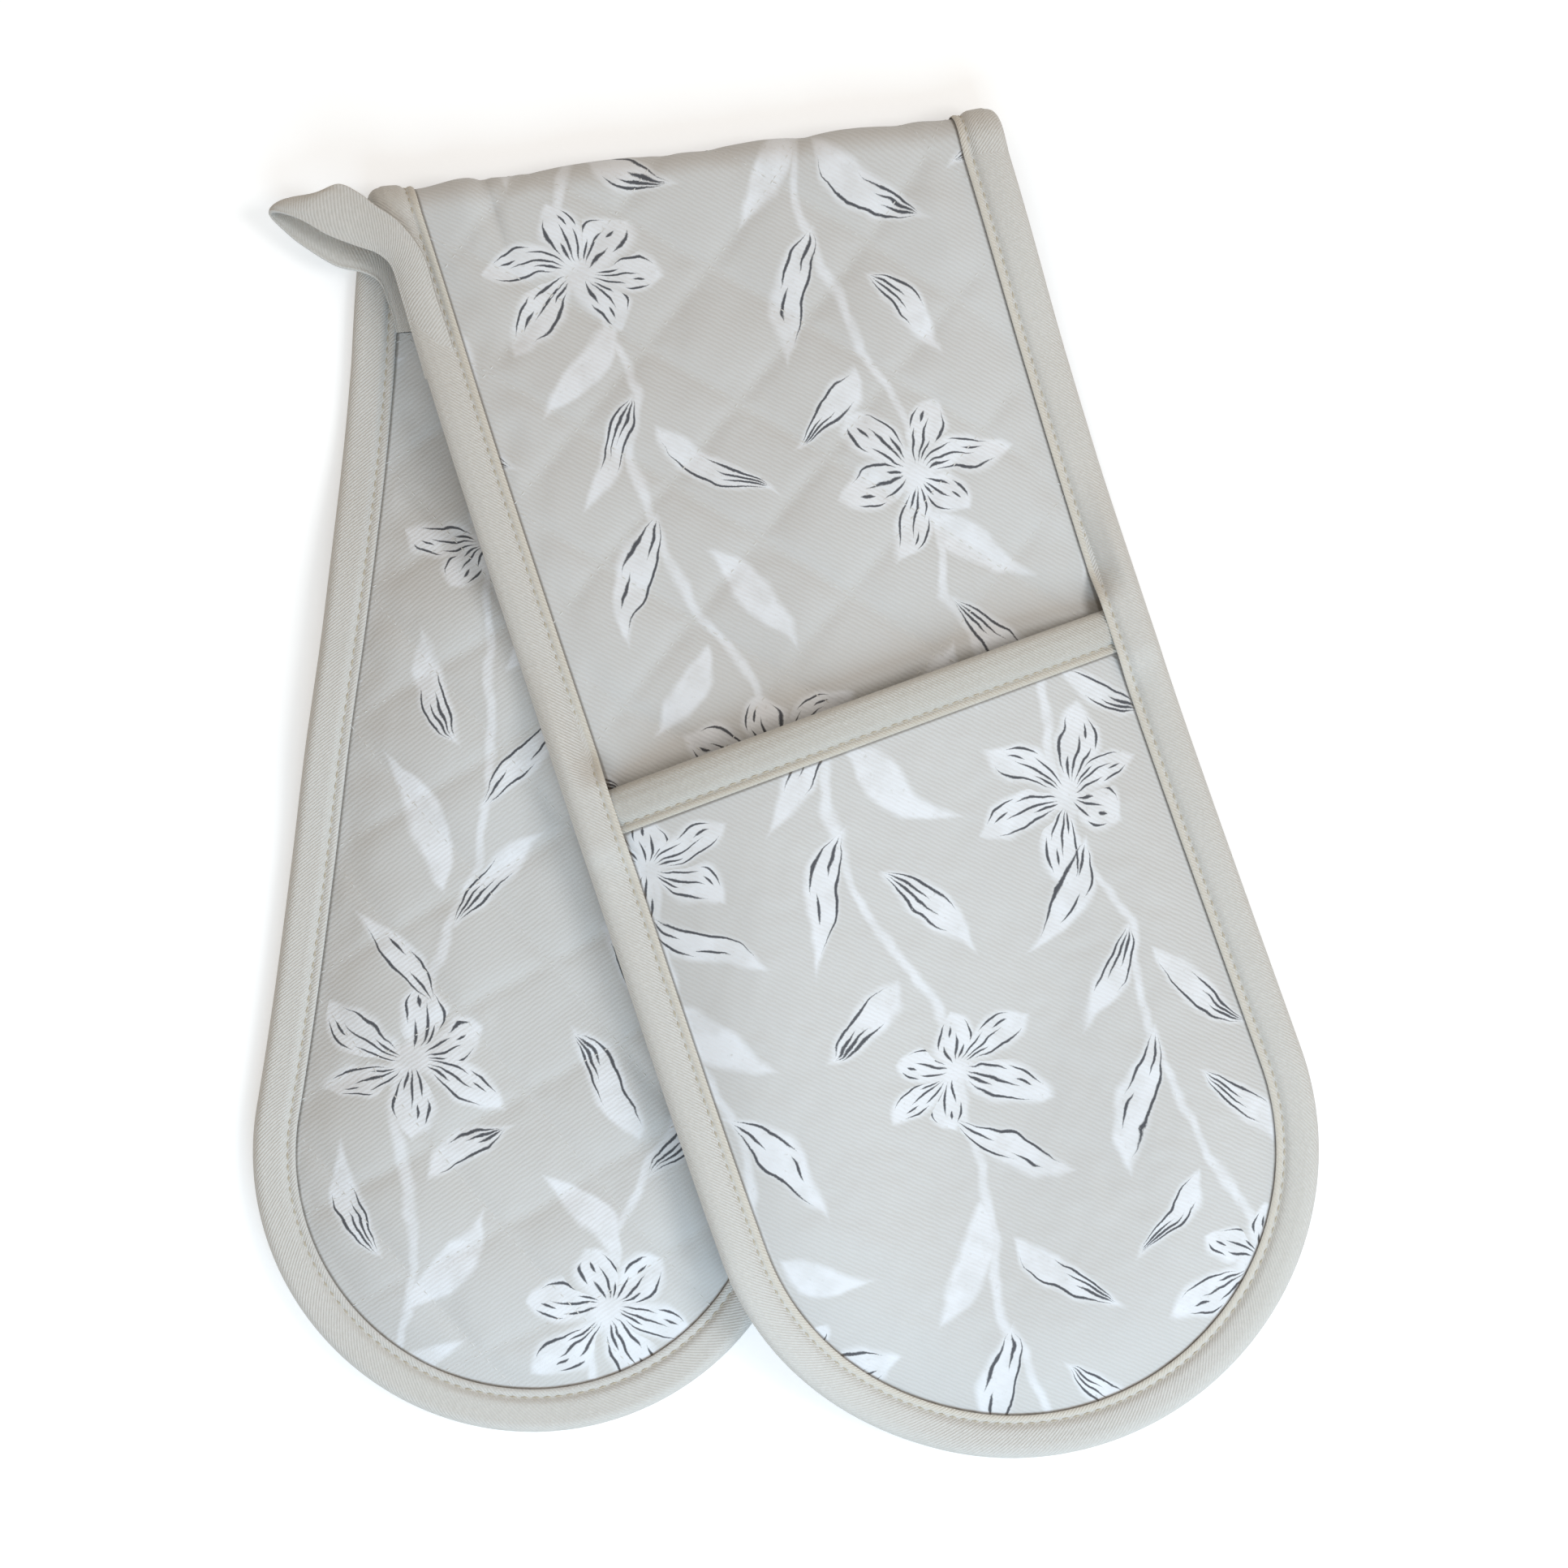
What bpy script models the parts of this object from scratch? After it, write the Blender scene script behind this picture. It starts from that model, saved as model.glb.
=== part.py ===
"""Double oven glove: a long quilted strip with a hand pocket at each end, folded over and laid flat."""

import math

import bmesh
import bpy
from mathutils import Matrix, Vector

# Cloth, wadding and tape
CLOTH = 0.0006
PLY_GAP = 0.0003
SEAM_GAP = 0.0007
STRIP_PUFFED = 0.0060
STRIP_STITCHED = 0.0046
STRIP_PRESSED = 0.0034
POCKET_PUFFED = 0.0040
POCKET_PRESSED = 0.0024
TAPE = 0.0010
PUFF_RUN = 0.0120
TAPE_BEND_WALL = 0.0016
TAPE_BEND_DEPTH = 0.0026
TAPE_BEND_SHARE = 0.7
TAPE_REACH = 0.0130

# Plan of the folded strip
FOLD_WIDTH = 0.180
FRONT_LEAN = math.radians(10.0)
BACK_LEAN = math.radians(15.0)
BEND_START = 0.050
BEND_RADIUS = 6.6
FRONT_LENGTH = 0.398
FRONT_POCKET_DEPTH = 0.229
FRONT_MOUTH_WIDTH = 0.1775
FRONT_END_WIDTH = 0.179
BACK_LENGTH = 0.378
BACK_POCKET_DEPTH = 0.215
BACK_MOUTH_WIDTH = 0.1685
BACK_END_WIDTH = 0.163
MOUTH_SLANT = math.radians(-1.7)
SLANT_END = 0.075

# Heights on the table
FOLD_RADIUS = 0.0070
FOLD_BAND = 0.0300
FOLD_RAMP = 0.060
BACK_CROWN = 0.0120
BACK_SWELL = 0.045
BACK_RISE = 0.080
BACK_SPREAD = 0.032
MOUTH_SETTLE = 0.045
MOUTH_CLEARANCE = 0.0003
FRONT_CAVITY = 0.0080
FRONT_SWELL = 0.038
SKIRT = 0.066
SHOULDER = 0.035

# Hanging loop
LOOP_TAPE = 0.0011
LOOP_WIDTH = 0.0120
LOOP_REACH = 0.0173
LOOP_FOOT = 0.0200
LOOP_TAIL = 0.0220
LOOP_TAIL_OUT = 0.0030
SEWN_START = 0.0240
LOOP_STEPS = 4

# The loop's free run from its foot round to its tail. Out past the fold's end and back from the
# fold are shares of its reach, up is a share of the way from tail to foot, the heading of its
# width is a share of a half turn, and half of its width a share of the tape's width
LOOP_RUN_SHARES = (
    (-0.25, -0.27, 1.03, 0.26, 0.52),
    (0.21, 0.05, 1.00, 0.31, 0.58),
    (0.56, 0.24, 0.92, 0.39, 0.63),
    (1.00, 0.46, 0.74, 0.09, 0.92),
    (0.90, 0.04, 0.37, 0.27, 0.60),
    (0.48, -0.32, 0.18, 0.35, 0.58),
    (-0.05, -0.45, 0.06, 0.43, 0.53),
)

# Colours as they look on screen, and roughness
CLOTH_COLOUR = (204, 202, 196)
LINING_COLOUR = (206, 205, 200)
WADDING_COLOUR = (236, 234, 228)
TAPE_COLOUR = (203, 201, 193)
ROUGHNESS = 0.9

# Mesh counts
COLUMNS = 14
SKEWED_ROWS = 4
QUILTED_ROWS = 6
POCKET_ROWS = 8
END_ROWS = 4
FOLD_ROWS = 8
CORNER_POINTS = 3
CORNER_SPREAD = math.radians(3)
QUILT_PERIOD = 4

STRIP_HALF = STRIP_PUFFED / 2
POCKET_HALF = POCKET_PUFFED / 2
INSET = TAPE_BEND_WALL + SEAM_GAP
FACE_INSET = TAPE_REACH + PLY_GAP
QUARTER_TURN = FOLD_RADIUS * math.pi / 2
BAND_END = FOLD_BAND / 2
FLAT_STACK = STRIP_PRESSED / 2 + SEAM_GAP + TAPE
MOUTH_STACK = POCKET_PRESSED + 2 * (SEAM_GAP + TAPE)
MOUTH_EDGE = SEAM_GAP + MOUTH_STACK
POCKET_EDGE = SEAM_GAP + POCKET_PRESSED
LOOP_LIFT = SEAM_GAP + LOOP_TAPE / 2
LEVEL = max(STRIP_HALF, FLAT_STACK)
AXIS_HEIGHT = LEVEL + FOLD_RADIUS


def smooth(x):
    x = min(max(x, 0.0), 1.0)
    return x * x * (3 - 2 * x)


def swell(x):
    """Rise of a padded panel from its seam, steep at first and then level."""
    x = min(max(x, 0.0), 1.0)
    return 1 - (1 - x) ** 2


def mix(a, b, share):
    return a + (b - a) * share


class Arm:
    """Half of the strip. s runs from the fold to the tip, t from left to right, n from inner to outer face."""

    def __init__(self, name, side, lean, length, pocket_depth, mouth_width, end_width):
        self.name = name
        self.side = side
        self.lean = lean
        self.length = length
        self.mouth = length - pocket_depth
        self.mouth_half = mouth_width / 2
        self.end_half = end_width / 2
        self.round_start = length - self.end_half

    def half_width(self, s):
        if s < self.mouth:
            return mix(FOLD_WIDTH / 2, self.mouth_half, smooth(s / self.mouth))
        past = (s - self.mouth) / (self.round_start - self.mouth)
        return mix(self.mouth_half, self.end_half, smooth(past))

    def start(self, t):
        """Where the arm begins, on a line along the fold."""
        lean = self.side * t * math.sin(self.lean)
        return (BAND_END + PLY_GAP + lean) / math.cos(self.lean)

    def row(self, station, t):
        """s of a row of points: along the fold at first, then square to the arm, slanted at the mouth."""
        if station < SLANT_END:
            first = self.start(t)
            share = (station - self.start(0)) / (SLANT_END - self.start(0))
            return mix(first, SLANT_END, share)
        if station < self.mouth:
            near = (station - SLANT_END) / (self.mouth - SLANT_END)
        else:
            near = (self.round_start - station) / (self.round_start - self.mouth)
        return station + t * math.tan(MOUTH_SLANT) * smooth(near)

    def edge_distance(self, s, t):
        """How far a point lies inside the arm's outline."""
        if s < self.round_start:
            return self.half_width(s) - abs(t)
        return self.end_half - math.hypot(s - self.round_start, t)

    def freedom(self, s, t):
        """0 where the edge tape presses the wadding flat, 1 where it is free to puff up."""
        return smooth((self.edge_distance(s, t) - FACE_INSET) / PUFF_RUN)

    def lay(self, s, t):
        """Plan position: x along the fold, and the distance past the fold's middle."""
        turn = max(s - BEND_START, 0) / BEND_RADIUS
        reach = BEND_RADIUS - self.side * t
        along = min(s, BEND_START) + reach * math.sin(turn)
        across = self.side * (BEND_RADIUS - reach * math.cos(turn))
        x = self.side * along * math.sin(self.lean) + across * math.cos(self.lean)
        past = along * math.cos(self.lean) - self.side * across * math.sin(self.lean)
        return x, past

    def unlay(self, x, past):
        """The strip point (s, t) at a plan position."""
        along = past * math.cos(self.lean) + self.side * x * math.sin(self.lean)
        across = x * math.cos(self.lean) - self.side * past * math.sin(self.lean)
        if along < BEND_START:
            return along, across
        rest = BEND_RADIUS - self.side * across
        turn = math.atan2(along - BEND_START, rest)
        reach = math.hypot(along - BEND_START, rest)
        return BEND_START + turn * BEND_RADIUS, self.side * (BEND_RADIUS - reach)

    def stack(self, s, t):
        """Thickness that the pocket adds to the strip's edge: most where the mouth tape passes."""
        e = s - self.row(self.mouth, t)
        mouth = smooth((e + TAPE_REACH) / (TAPE_REACH - TAPE))
        past = smooth((e - FACE_INSET) / TAPE_REACH)
        return mouth * mix(MOUTH_EDGE, POCKET_EDGE, past)

    def point(self, s, t, height, n):
        x, past = self.lay(s, t)
        return Vector((x, QUARTER_TURN - past, height + self.side * n))

    def strip_point(self, s, t, n):
        return self.point(s, t, self.strip_height(s, t), n)

    def pocket_point(self, s, t, n):
        return self.point(s, t, self.pocket_height(s, t), n)

    def pocket_seam(self, s, t):
        """Offset of the pocket panel's middle from the strip's at their shared seam."""
        return STRIP_PRESSED / 2 + self.stack(s, t) - POCKET_PRESSED / 2 - self.mouth_lift(s, t)

    def mouth_lift(self, s, t):
        """How much the mouth tape under the panel's edge holds it off the strip."""
        e = s - self.row(self.mouth, t)
        return (SEAM_GAP + TAPE) * (1 - smooth((e - FACE_INSET) / TAPE_REACH))


class BackArm(Arm):
    """Lies on the table, its pocket underneath and its strip arched over the pocket."""

    def strip_height(self, s, t):
        e = s - self.row(self.mouth, t)
        rise = smooth((e + BACK_RISE) / (BACK_RISE - TAPE_REACH))
        edge = mix(MOUTH_EDGE, POCKET_EDGE, smooth((e - FACE_INSET) / MOUTH_SETTLE))
        crown = BACK_CROWN * swell((self.edge_distance(s, t) - FACE_INSET) / BACK_SWELL)
        return LEVEL + rise * (edge + crown)

    def pocket_height(self, s, t):
        seam = self.strip_height(s, t) - self.pocket_seam(s, t)
        inward = smooth((self.edge_distance(s, t) - FACE_INSET) / BACK_SPREAD)
        e = s - self.row(self.mouth, t)
        near_mouth = 1 - smooth((e - FACE_INSET) / TAPE_REACH)
        lift = MOUTH_STACK / 2 + MOUTH_CLEARANCE - POCKET_HALF
        return mix(seam, POCKET_HALF + lift * near_mouth, inward)


class FrontArm(Arm):
    """Lies over the back arm and down onto the table beside it, its pocket on top."""

    def __init__(self, *sizes, under):
        super().__init__(*sizes)
        self.under = under

    def support(self, x, past):
        """Height of what the arm lies on: the back arm, with a slope down to the table beside it."""
        under = self.under
        s, t = under.unlay(x, past)
        if s < under.round_start:
            inside = under.half_width(s) - t
        else:
            inside = under.end_half - math.hypot(s - under.round_start, max(t, 0))
        crown = 2 * LEVEL + MOUTH_EDGE + BACK_CROWN
        level = mix(2 * FOLD_RADIUS, crown, smooth(s / under.mouth))
        slope = level * smooth((inside + SKIRT) / (SKIRT + SHOULDER))
        return mix(2 * FOLD_RADIUS, slope + PLY_GAP, smooth((past - BAND_END) / FOLD_RAMP))

    def strip_height(self, s, t):
        return LEVEL + self.support(*self.lay(s, t))

    def pocket_height(self, s, t):
        seam = self.pocket_seam(s, t)
        open_middle = STRIP_HALF + FRONT_CAVITY + POCKET_HALF
        inward = swell((self.edge_distance(s, t) - FACE_INSET) / FRONT_SWELL)
        return self.strip_height(s, t) + mix(seam, open_middle, inward)


def columns(half):
    """t of each column of points across a panel; the outermost ones lie under the edge tape."""
    face = half - FACE_INSET
    inner = [face * (2 * i / (COLUMNS - 2) - 1) for i in range(COLUMNS - 1)]
    return [INSET - half, *inner, half - INSET]


def pocket_stations(arm):
    """Stations of the rows from the inner edge of the mouth tape to the round end."""
    first = arm.mouth + FACE_INSET
    return [mix(first, arm.round_start, i / POCKET_ROWS) for i in range(POCKET_ROWS + 1)]


def strip_stations(arm):
    first = arm.start(0)
    skewed = [mix(first, SLANT_END, i / SKEWED_ROWS) for i in range(SKEWED_ROWS)]
    quilted = [mix(SLANT_END, arm.mouth, i / QUILTED_ROWS) for i in range(QUILTED_ROWS + 1)]
    return skewed + quilted + pocket_stations(arm)


def end_angle(column, k):
    """Direction from the left of a point of the round end's outer ring, beside the ring inside it."""
    if column > COLUMNS / 2:
        return math.pi - end_angle(COLUMNS - column, k)
    if k < END_ROWS - 1:
        v = k / (END_ROWS - 1)
        return math.atan2(v * math.sqrt(1 / 2), math.sqrt(1 - v * v / 2))
    if column == 0:
        return math.pi / 4 - CORNER_SPREAD * (END_ROWS - k)
    if column == 1:
        return math.pi / 4 + CORNER_SPREAD
    u = 2 * (column - 1) / (COLUMNS - 2) - 1
    return math.atan2(math.sqrt(1 - u * u / 2), -u * math.sqrt(1 / 2))


def round_end_point(arm, column, k):
    """A point of the round end: a square grid pressed into a half disc, inside a ring under the tape."""
    if column in (0, COLUMNS) or k == END_ROWS:
        angle = end_angle(column, k)
        radius = arm.end_half - INSET
        return arm.round_start + radius * math.sin(angle), -radius * math.cos(angle)
    u = 2 * (column - 1) / (COLUMNS - 2) - 1
    v = k / (END_ROWS - 1)
    radius = arm.end_half - FACE_INSET
    t = radius * u * math.sqrt(1 - v * v / 2)
    return arm.round_start + radius * v * math.sqrt(1 - u * u / 2), t


def panel_grid(arm, stations):
    """Rows of (s, t) from the first station to the tip."""
    rows = []
    for station in stations:
        rows.append([(arm.row(station, t), t) for t in columns(arm.half_width(station))])
    for k in range(1, END_ROWS + 1):
        rows.append([round_end_point(arm, column, k) for column in range(COLUMNS + 1)])
    return rows


def puff(column, row):
    """0 on a stitched line of the diamond quilting, 1 in the middle of a diamond."""
    steps = [(column + row) % QUILT_PERIOD, (column - row) % QUILT_PERIOD]
    nearest = min(min(step, QUILT_PERIOD - step) for step in steps)
    return swell(2 * nearest / QUILT_PERIOD)


def taped(column):
    return column <= 1 or column >= COLUMNS - 1


def ply_offsets(ply, half):
    """Lower and upper offset of a ply from the middle of a panel of this half thickness."""
    inside = half - CLOTH
    offsets = {
        "outer": (inside, half),
        "wadding": (PLY_GAP - inside, inside - PLY_GAP),
        "inner": (-half, -inside),
    }
    return offsets[ply]


def new_object(name, material, mesh):
    mesh.materials.append(material)
    made = bpy.data.objects.new(name, mesh)
    bpy.context.scene.collection.objects.link(made)
    return made


def mesh_of(name, points, smooth_faces, flat_faces):
    """A closed mesh facing out; the faces listed first are shaded smooth."""
    build = bmesh.new()
    corners = [build.verts.new(point) for point in points]
    for faces, is_smooth in ((smooth_faces, True), (flat_faces, False)):
        for face in faces:
            build.faces.new([corners[i] for i in face]).smooth = is_smooth
    bmesh.ops.recalc_face_normals(build, faces=build.faces)
    mesh = bpy.data.meshes.new(name)
    build.to_mesh(mesh)
    build.free()
    return mesh


def sheet(name, material, low, high, first_row=0):
    """A solid between two grids of points. The diagonals of its faces follow the quilting."""
    rows, across = len(low), len(low[0])
    points = [point for grid in (low, high) for row in grid for point in row]

    def index(layer, row, column):
        return (layer * rows + row) * across + column

    faces = []
    for layer in (0, 1):
        for i in range(rows - 1):
            for j in range(across - 1):
                a, b = index(layer, i, j), index(layer, i, j + 1)
                c, d = index(layer, i + 1, j + 1), index(layer, i + 1, j)
                if (first_row + i - j) % 2 == 0:
                    faces += [(a, b, c), (a, c, d)]
                else:
                    faces += [(a, b, d), (b, c, d)]
    outline = [(0, j) for j in range(across - 1)]
    outline += [(i, across - 1) for i in range(rows - 1)]
    outline += [(rows - 1, j) for j in range(across - 1, 0, -1)]
    outline += [(i, 0) for i in range(rows - 1, 0, -1)]
    rim = []
    for here, there in zip(outline, outline[1:] + outline[:1]):
        rim.append((index(0, *here), index(0, *there), index(1, *there), index(1, *here)))
    return new_object(name, material, mesh_of(name, points, faces, rim))


def sweep(name, material, sections):
    """A solid through sections with the same number of corners, closed at both ends."""
    count = len(sections[0])
    points = [point for section in sections for point in section]
    sides = []
    for i in range(len(sections) - 1):
        for j in range(count):
            k = (j + 1) % count
            a, b = i * count + j, i * count + k
            sides.append((a, b, b + count, a + count))
    last = (len(sections) - 1) * count
    ends = [tuple(range(count)), tuple(range(last, last + count))]
    return new_object(name, material, mesh_of(name, points, sides, ends))


def tape_section(low, high):
    """Corners (depth from the edge, offset) of the tape folded round a panel between two offsets."""
    low, high = low - SEAM_GAP, high + SEAM_GAP
    middle = (low + high) / 2
    half = (high - low) / 2 + TAPE
    bend = half * TAPE_BEND_SHARE
    angles = [math.pi / 2 * i / (CORNER_POINTS - 1) for i in range(CORNER_POINTS)]
    corner = []
    for angle in reversed(angles):
        depth = TAPE_BEND_DEPTH * (1 - math.cos(angle))
        corner.append((depth, half - bend + bend * math.sin(angle)))
    outer = corner + [(depth, -offset) for depth, offset in reversed(corner)]
    points = [(TAPE_REACH, half), *outer, (TAPE_REACH, -half)]
    points = [(depth, middle + offset) for depth, offset in points]
    slot = [(TAPE_REACH, low), (TAPE_BEND_WALL, low), (TAPE_BEND_WALL, high), (TAPE_REACH, high)]
    return points + slot


def round_angles():
    """Directions of the outer ring's points, from left to right round the tip."""
    left = [end_angle(0, k) for k in range(1, END_ROWS)]
    far = [end_angle(column, END_ROWS) for column in range(COLUMNS + 1)]
    return left + far + [math.pi - angle for angle in reversed(left)]


def edge_tape(arm, material):
    sections = []

    def add(place):
        s, t = place(0)
        section = []
        for depth, n in tape_section(-STRIP_PRESSED / 2, STRIP_PRESSED / 2 + arm.stack(s, t)):
            section.append(arm.strip_point(*place(depth), n))
        sections.append(section)

    def side_place(station, sign):
        half = arm.half_width(station)
        return lambda depth: (arm.row(station, sign * (half - depth)), sign * (half - depth))

    def tip_place(angle):
        def place(depth):
            reach = arm.end_half - depth
            return arm.round_start + reach * math.sin(angle), -reach * math.cos(angle)

        return place

    stations = strip_stations(arm)
    for station in stations:
        add(side_place(station, -1))
    for angle in round_angles():
        add(tip_place(angle))
    for station in reversed(stations):
        add(side_place(station, 1))
    return sweep(arm.name + "_edge_binding", material, sections)


def mouth_tape(arm, material):
    sections = []
    for t in columns(arm.half_width(arm.mouth)):
        section = []
        for depth, n in tape_section(-POCKET_PRESSED / 2, POCKET_PRESSED / 2):
            section.append(arm.pocket_point(arm.row(arm.mouth + depth, t), t, n))
        sections.append(section)
    return sweep(arm.name + "_pocket_mouth_binding", material, sections)


def strip_ply(arm, ply, name, material):
    grid = panel_grid(arm, strip_stations(arm))
    low, high = [], []
    for i, row in enumerate(grid):
        lows, highs = [], []
        for j, (s, t) in enumerate(row):
            quilted = mix(STRIP_STITCHED, STRIP_PUFFED, puff(j, i))
            half = mix(STRIP_PRESSED, quilted, arm.freedom(s, t)) / 2
            offsets = ply_offsets(ply, half)
            lows.append(arm.strip_point(s, t, offsets[0]))
            highs.append(arm.strip_point(s, t, offsets[1]))
        low.append(lows)
        high.append(highs)
    return sheet(f"{arm.name}_{name}", material, low, high)


def pocket_ply(arm, ply, name, material):
    grid = panel_grid(arm, [arm.mouth + INSET, *pocket_stations(arm)])
    low, high = [], []
    for i, row in enumerate(grid):
        lows, highs = [], []
        for j, (s, t) in enumerate(row):
            freedom = 0 if i < 2 else arm.freedom(s, t)
            offsets = ply_offsets(ply, mix(POCKET_PRESSED, POCKET_PUFFED, freedom) / 2)
            lows.append(arm.pocket_point(s, t, offsets[0]))
            highs.append(arm.pocket_point(s, t, offsets[1]))
        low.append(lows)
        high.append(highs)
    first_row = len(strip_stations(arm)) - len(pocket_stations(arm)) - 1
    return sheet(f"{arm.name}_{name}", material, low, high, first_row)


def fold_point(b, t, n):
    """A point of the band that turns round the fold: b runs round it, from the back arm to the front."""
    lean = mix(BACK_LEAN, FRONT_LEAN, (b / BAND_END + 1) / 2)
    x = b * math.tan(lean) + t / math.cos(lean)
    angle = min(max(b / FOLD_RADIUS, -math.pi / 2), math.pi / 2)
    past = abs(b) - QUARTER_TURN
    y = (FOLD_RADIUS + n) * math.cos(angle) - max(past, 0)
    return Vector((x, y, AXIS_HEIGHT + (FOLD_RADIUS + n) * math.sin(angle)))


def fold_rows():
    return [mix(-BAND_END, BAND_END, i / FOLD_ROWS) for i in range(FOLD_ROWS + 1)]


def fold_ply(ply, name, material):
    low, high = [], []
    for i, b in enumerate(fold_rows()):
        lows, highs = [], []
        for j, t in enumerate(columns(FOLD_WIDTH / 2)):
            half = STRIP_PRESSED / 2
            if not taped(j):
                half = mix(STRIP_STITCHED, STRIP_PUFFED, puff(j, i)) / 2
            offsets = ply_offsets(ply, half)
            lows.append(fold_point(b, t, offsets[0]))
            highs.append(fold_point(b, t, offsets[1]))
        low.append(lows)
        high.append(highs)
    return sheet(name, material, low, high)


def fold_tape(sign, name, material):
    sections = []
    for b in fold_rows():
        section = []
        for depth, n in tape_section(-STRIP_PRESSED / 2, STRIP_PRESSED / 2):
            section.append(fold_point(b, sign * (FOLD_WIDTH / 2 - depth), n))
        sections.append(section)
    return sweep(name, material, sections)


def curve_through(keys, steps):
    """Points of a smooth curve through the keys, each a tuple of numbers."""
    padded = [keys[0], *keys, keys[-1]]
    for i in range(len(keys) - 1):
        a, b, c, d = padded[i : i + 4]
        for step in range(steps):
            x = step / steps
            yield [
                q + x * ((r - p) + x * ((2 * p - 5 * q + 4 * r - u) + x * (3 * (q - r) + u - p))) / 2
                for p, q, r, u in zip(a, b, c, d)
            ]
    yield list(keys[-1])


def sewn_key(arm, s, out, lift):
    """A key of the loop where it is sewn along the left edge of the arm."""
    half = LOOP_WIDTH / 2
    middle = arm.strip_point(s, half - out - arm.half_width(s), lift)
    ahead = arm.strip_point(s + LOOP_WIDTH, half - out - arm.half_width(s), lift)
    heading = math.atan2(ahead.y - middle.y, ahead.x - middle.x) + math.pi / 2
    return middle, heading, half


def hanging_loop(arm, material):
    """A tape that leaves the arm's edge at the fold, turns back and is sewn in under the edge."""
    fold_end = -FOLD_WIDTH / 2 / math.cos(arm.lean)
    top = AXIS_HEIGHT + FOLD_RADIUS + FLAT_STACK + LOOP_LIFT
    foot, tail = [], []
    for s in (SEWN_START + LOOP_FOOT, SEWN_START):
        foot.append(sewn_key(arm, s, 0, FLAT_STACK + LOOP_LIFT))
    for s in (SEWN_START, SEWN_START + LOOP_TAIL):
        middle, heading, half = sewn_key(arm, s, LOOP_TAIL_OUT, 0)
        middle.z = AXIS_HEIGHT
        tail.append((middle, heading, half))
    run = []
    for out, back, up, heading, half in LOOP_RUN_SHARES:
        x, y = fold_end - out * LOOP_REACH, back * LOOP_REACH
        middle = Vector((x, y, mix(AXIS_HEIGHT, top, up)))
        run.append((middle, heading * math.pi, half * LOOP_WIDTH))
    keys = [(*middle, heading, half) for middle, heading, half in foot + run + tail]
    middles, widths = [], []
    for x, y, z, heading, half in curve_through(keys, LOOP_STEPS):
        middles.append(Vector((x, y, z)))
        widths.append(half * Vector((math.cos(heading), math.sin(heading), 0)))
    sections = []
    for i, middle in enumerate(middles):
        wide = widths[i]
        tangent = middles[min(i + 1, len(middles) - 1)] - middles[max(i - 1, 0)]
        thick = tangent.cross(wide).normalized() * LOOP_TAPE / 2
        far, near = middle + wide, middle - wide
        sections.append([far + thick, near + thick, near - thick, far - thick])
    return sweep("hanging_loop", material, sections)


def material(name, colour):
    """An opaque cloth colour, given as it looks on screen."""
    made = bpy.data.materials.new(name)
    made.use_nodes = True
    shader = made.node_tree.nodes["Principled BSDF"]
    linear = [(part / 255) ** 2.2 for part in colour]
    shader.inputs["Base Color"].default_value = (*linear, 1)
    shader.inputs["Roughness"].default_value = ROUGHNESS
    shader.inputs["Metallic"].default_value = 0
    return made


def arm_pieces(arm):
    """The strip's plies, the pocket's plies and the tapes of one arm."""
    def named(name, colour):
        return material(f"{arm.name}_{name}", colour)

    return [
        strip_ply(arm, "outer", "outer_cover", named("outer_cover", CLOTH_COLOUR)),
        strip_ply(arm, "wadding", "wadding", named("wadding", WADDING_COLOUR)),
        strip_ply(arm, "inner", "inner_cover", named("inner_cover", CLOTH_COLOUR)),
        pocket_ply(arm, "outer", "pocket_cover", named("pocket_cover", CLOTH_COLOUR)),
        pocket_ply(arm, "wadding", "pocket_wadding", named("pocket_wadding", WADDING_COLOUR)),
        pocket_ply(arm, "inner", "pocket_lining", named("pocket_lining", LINING_COLOUR)),
        mouth_tape(arm, named("pocket_mouth_binding", TAPE_COLOUR)),
        edge_tape(arm, named("edge_binding", TAPE_COLOUR)),
    ]


def fold_pieces():
    return [
        fold_ply("outer", "fold_outer_cover", material("fold_outer_cover", CLOTH_COLOUR)),
        fold_ply("wadding", "fold_wadding", material("fold_wadding", WADDING_COLOUR)),
        fold_ply("inner", "fold_inner_cover", material("fold_inner_cover", CLOTH_COLOUR)),
        fold_tape(-1, "fold_binding_left", material("fold_binding_left", TAPE_COLOUR)),
        fold_tape(1, "fold_binding_right", material("fold_binding_right", TAPE_COLOUR)),
    ]


def carry(name, place, children):
    """Hangs the children, which stay where they are, on an empty at this place."""
    parent = bpy.data.objects.new(name, None)
    parent.location = place
    bpy.context.scene.collection.objects.link(parent)
    for child in children:
        child.parent = parent
        child.matrix_parent_inverse = Matrix.Translation(-place)
    return parent


def rest_centre(pieces):
    """The middle of the model's underside."""
    points = [vertex.co for piece in pieces for vertex in piece.data.vertices]
    low = [min(point[i] for point in points) for i in range(3)]
    high = [max(point[i] for point in points) for i in range(3)]
    return Vector(((low[0] + high[0]) / 2, (low[1] + high[1]) / 2, low[2]))


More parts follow.
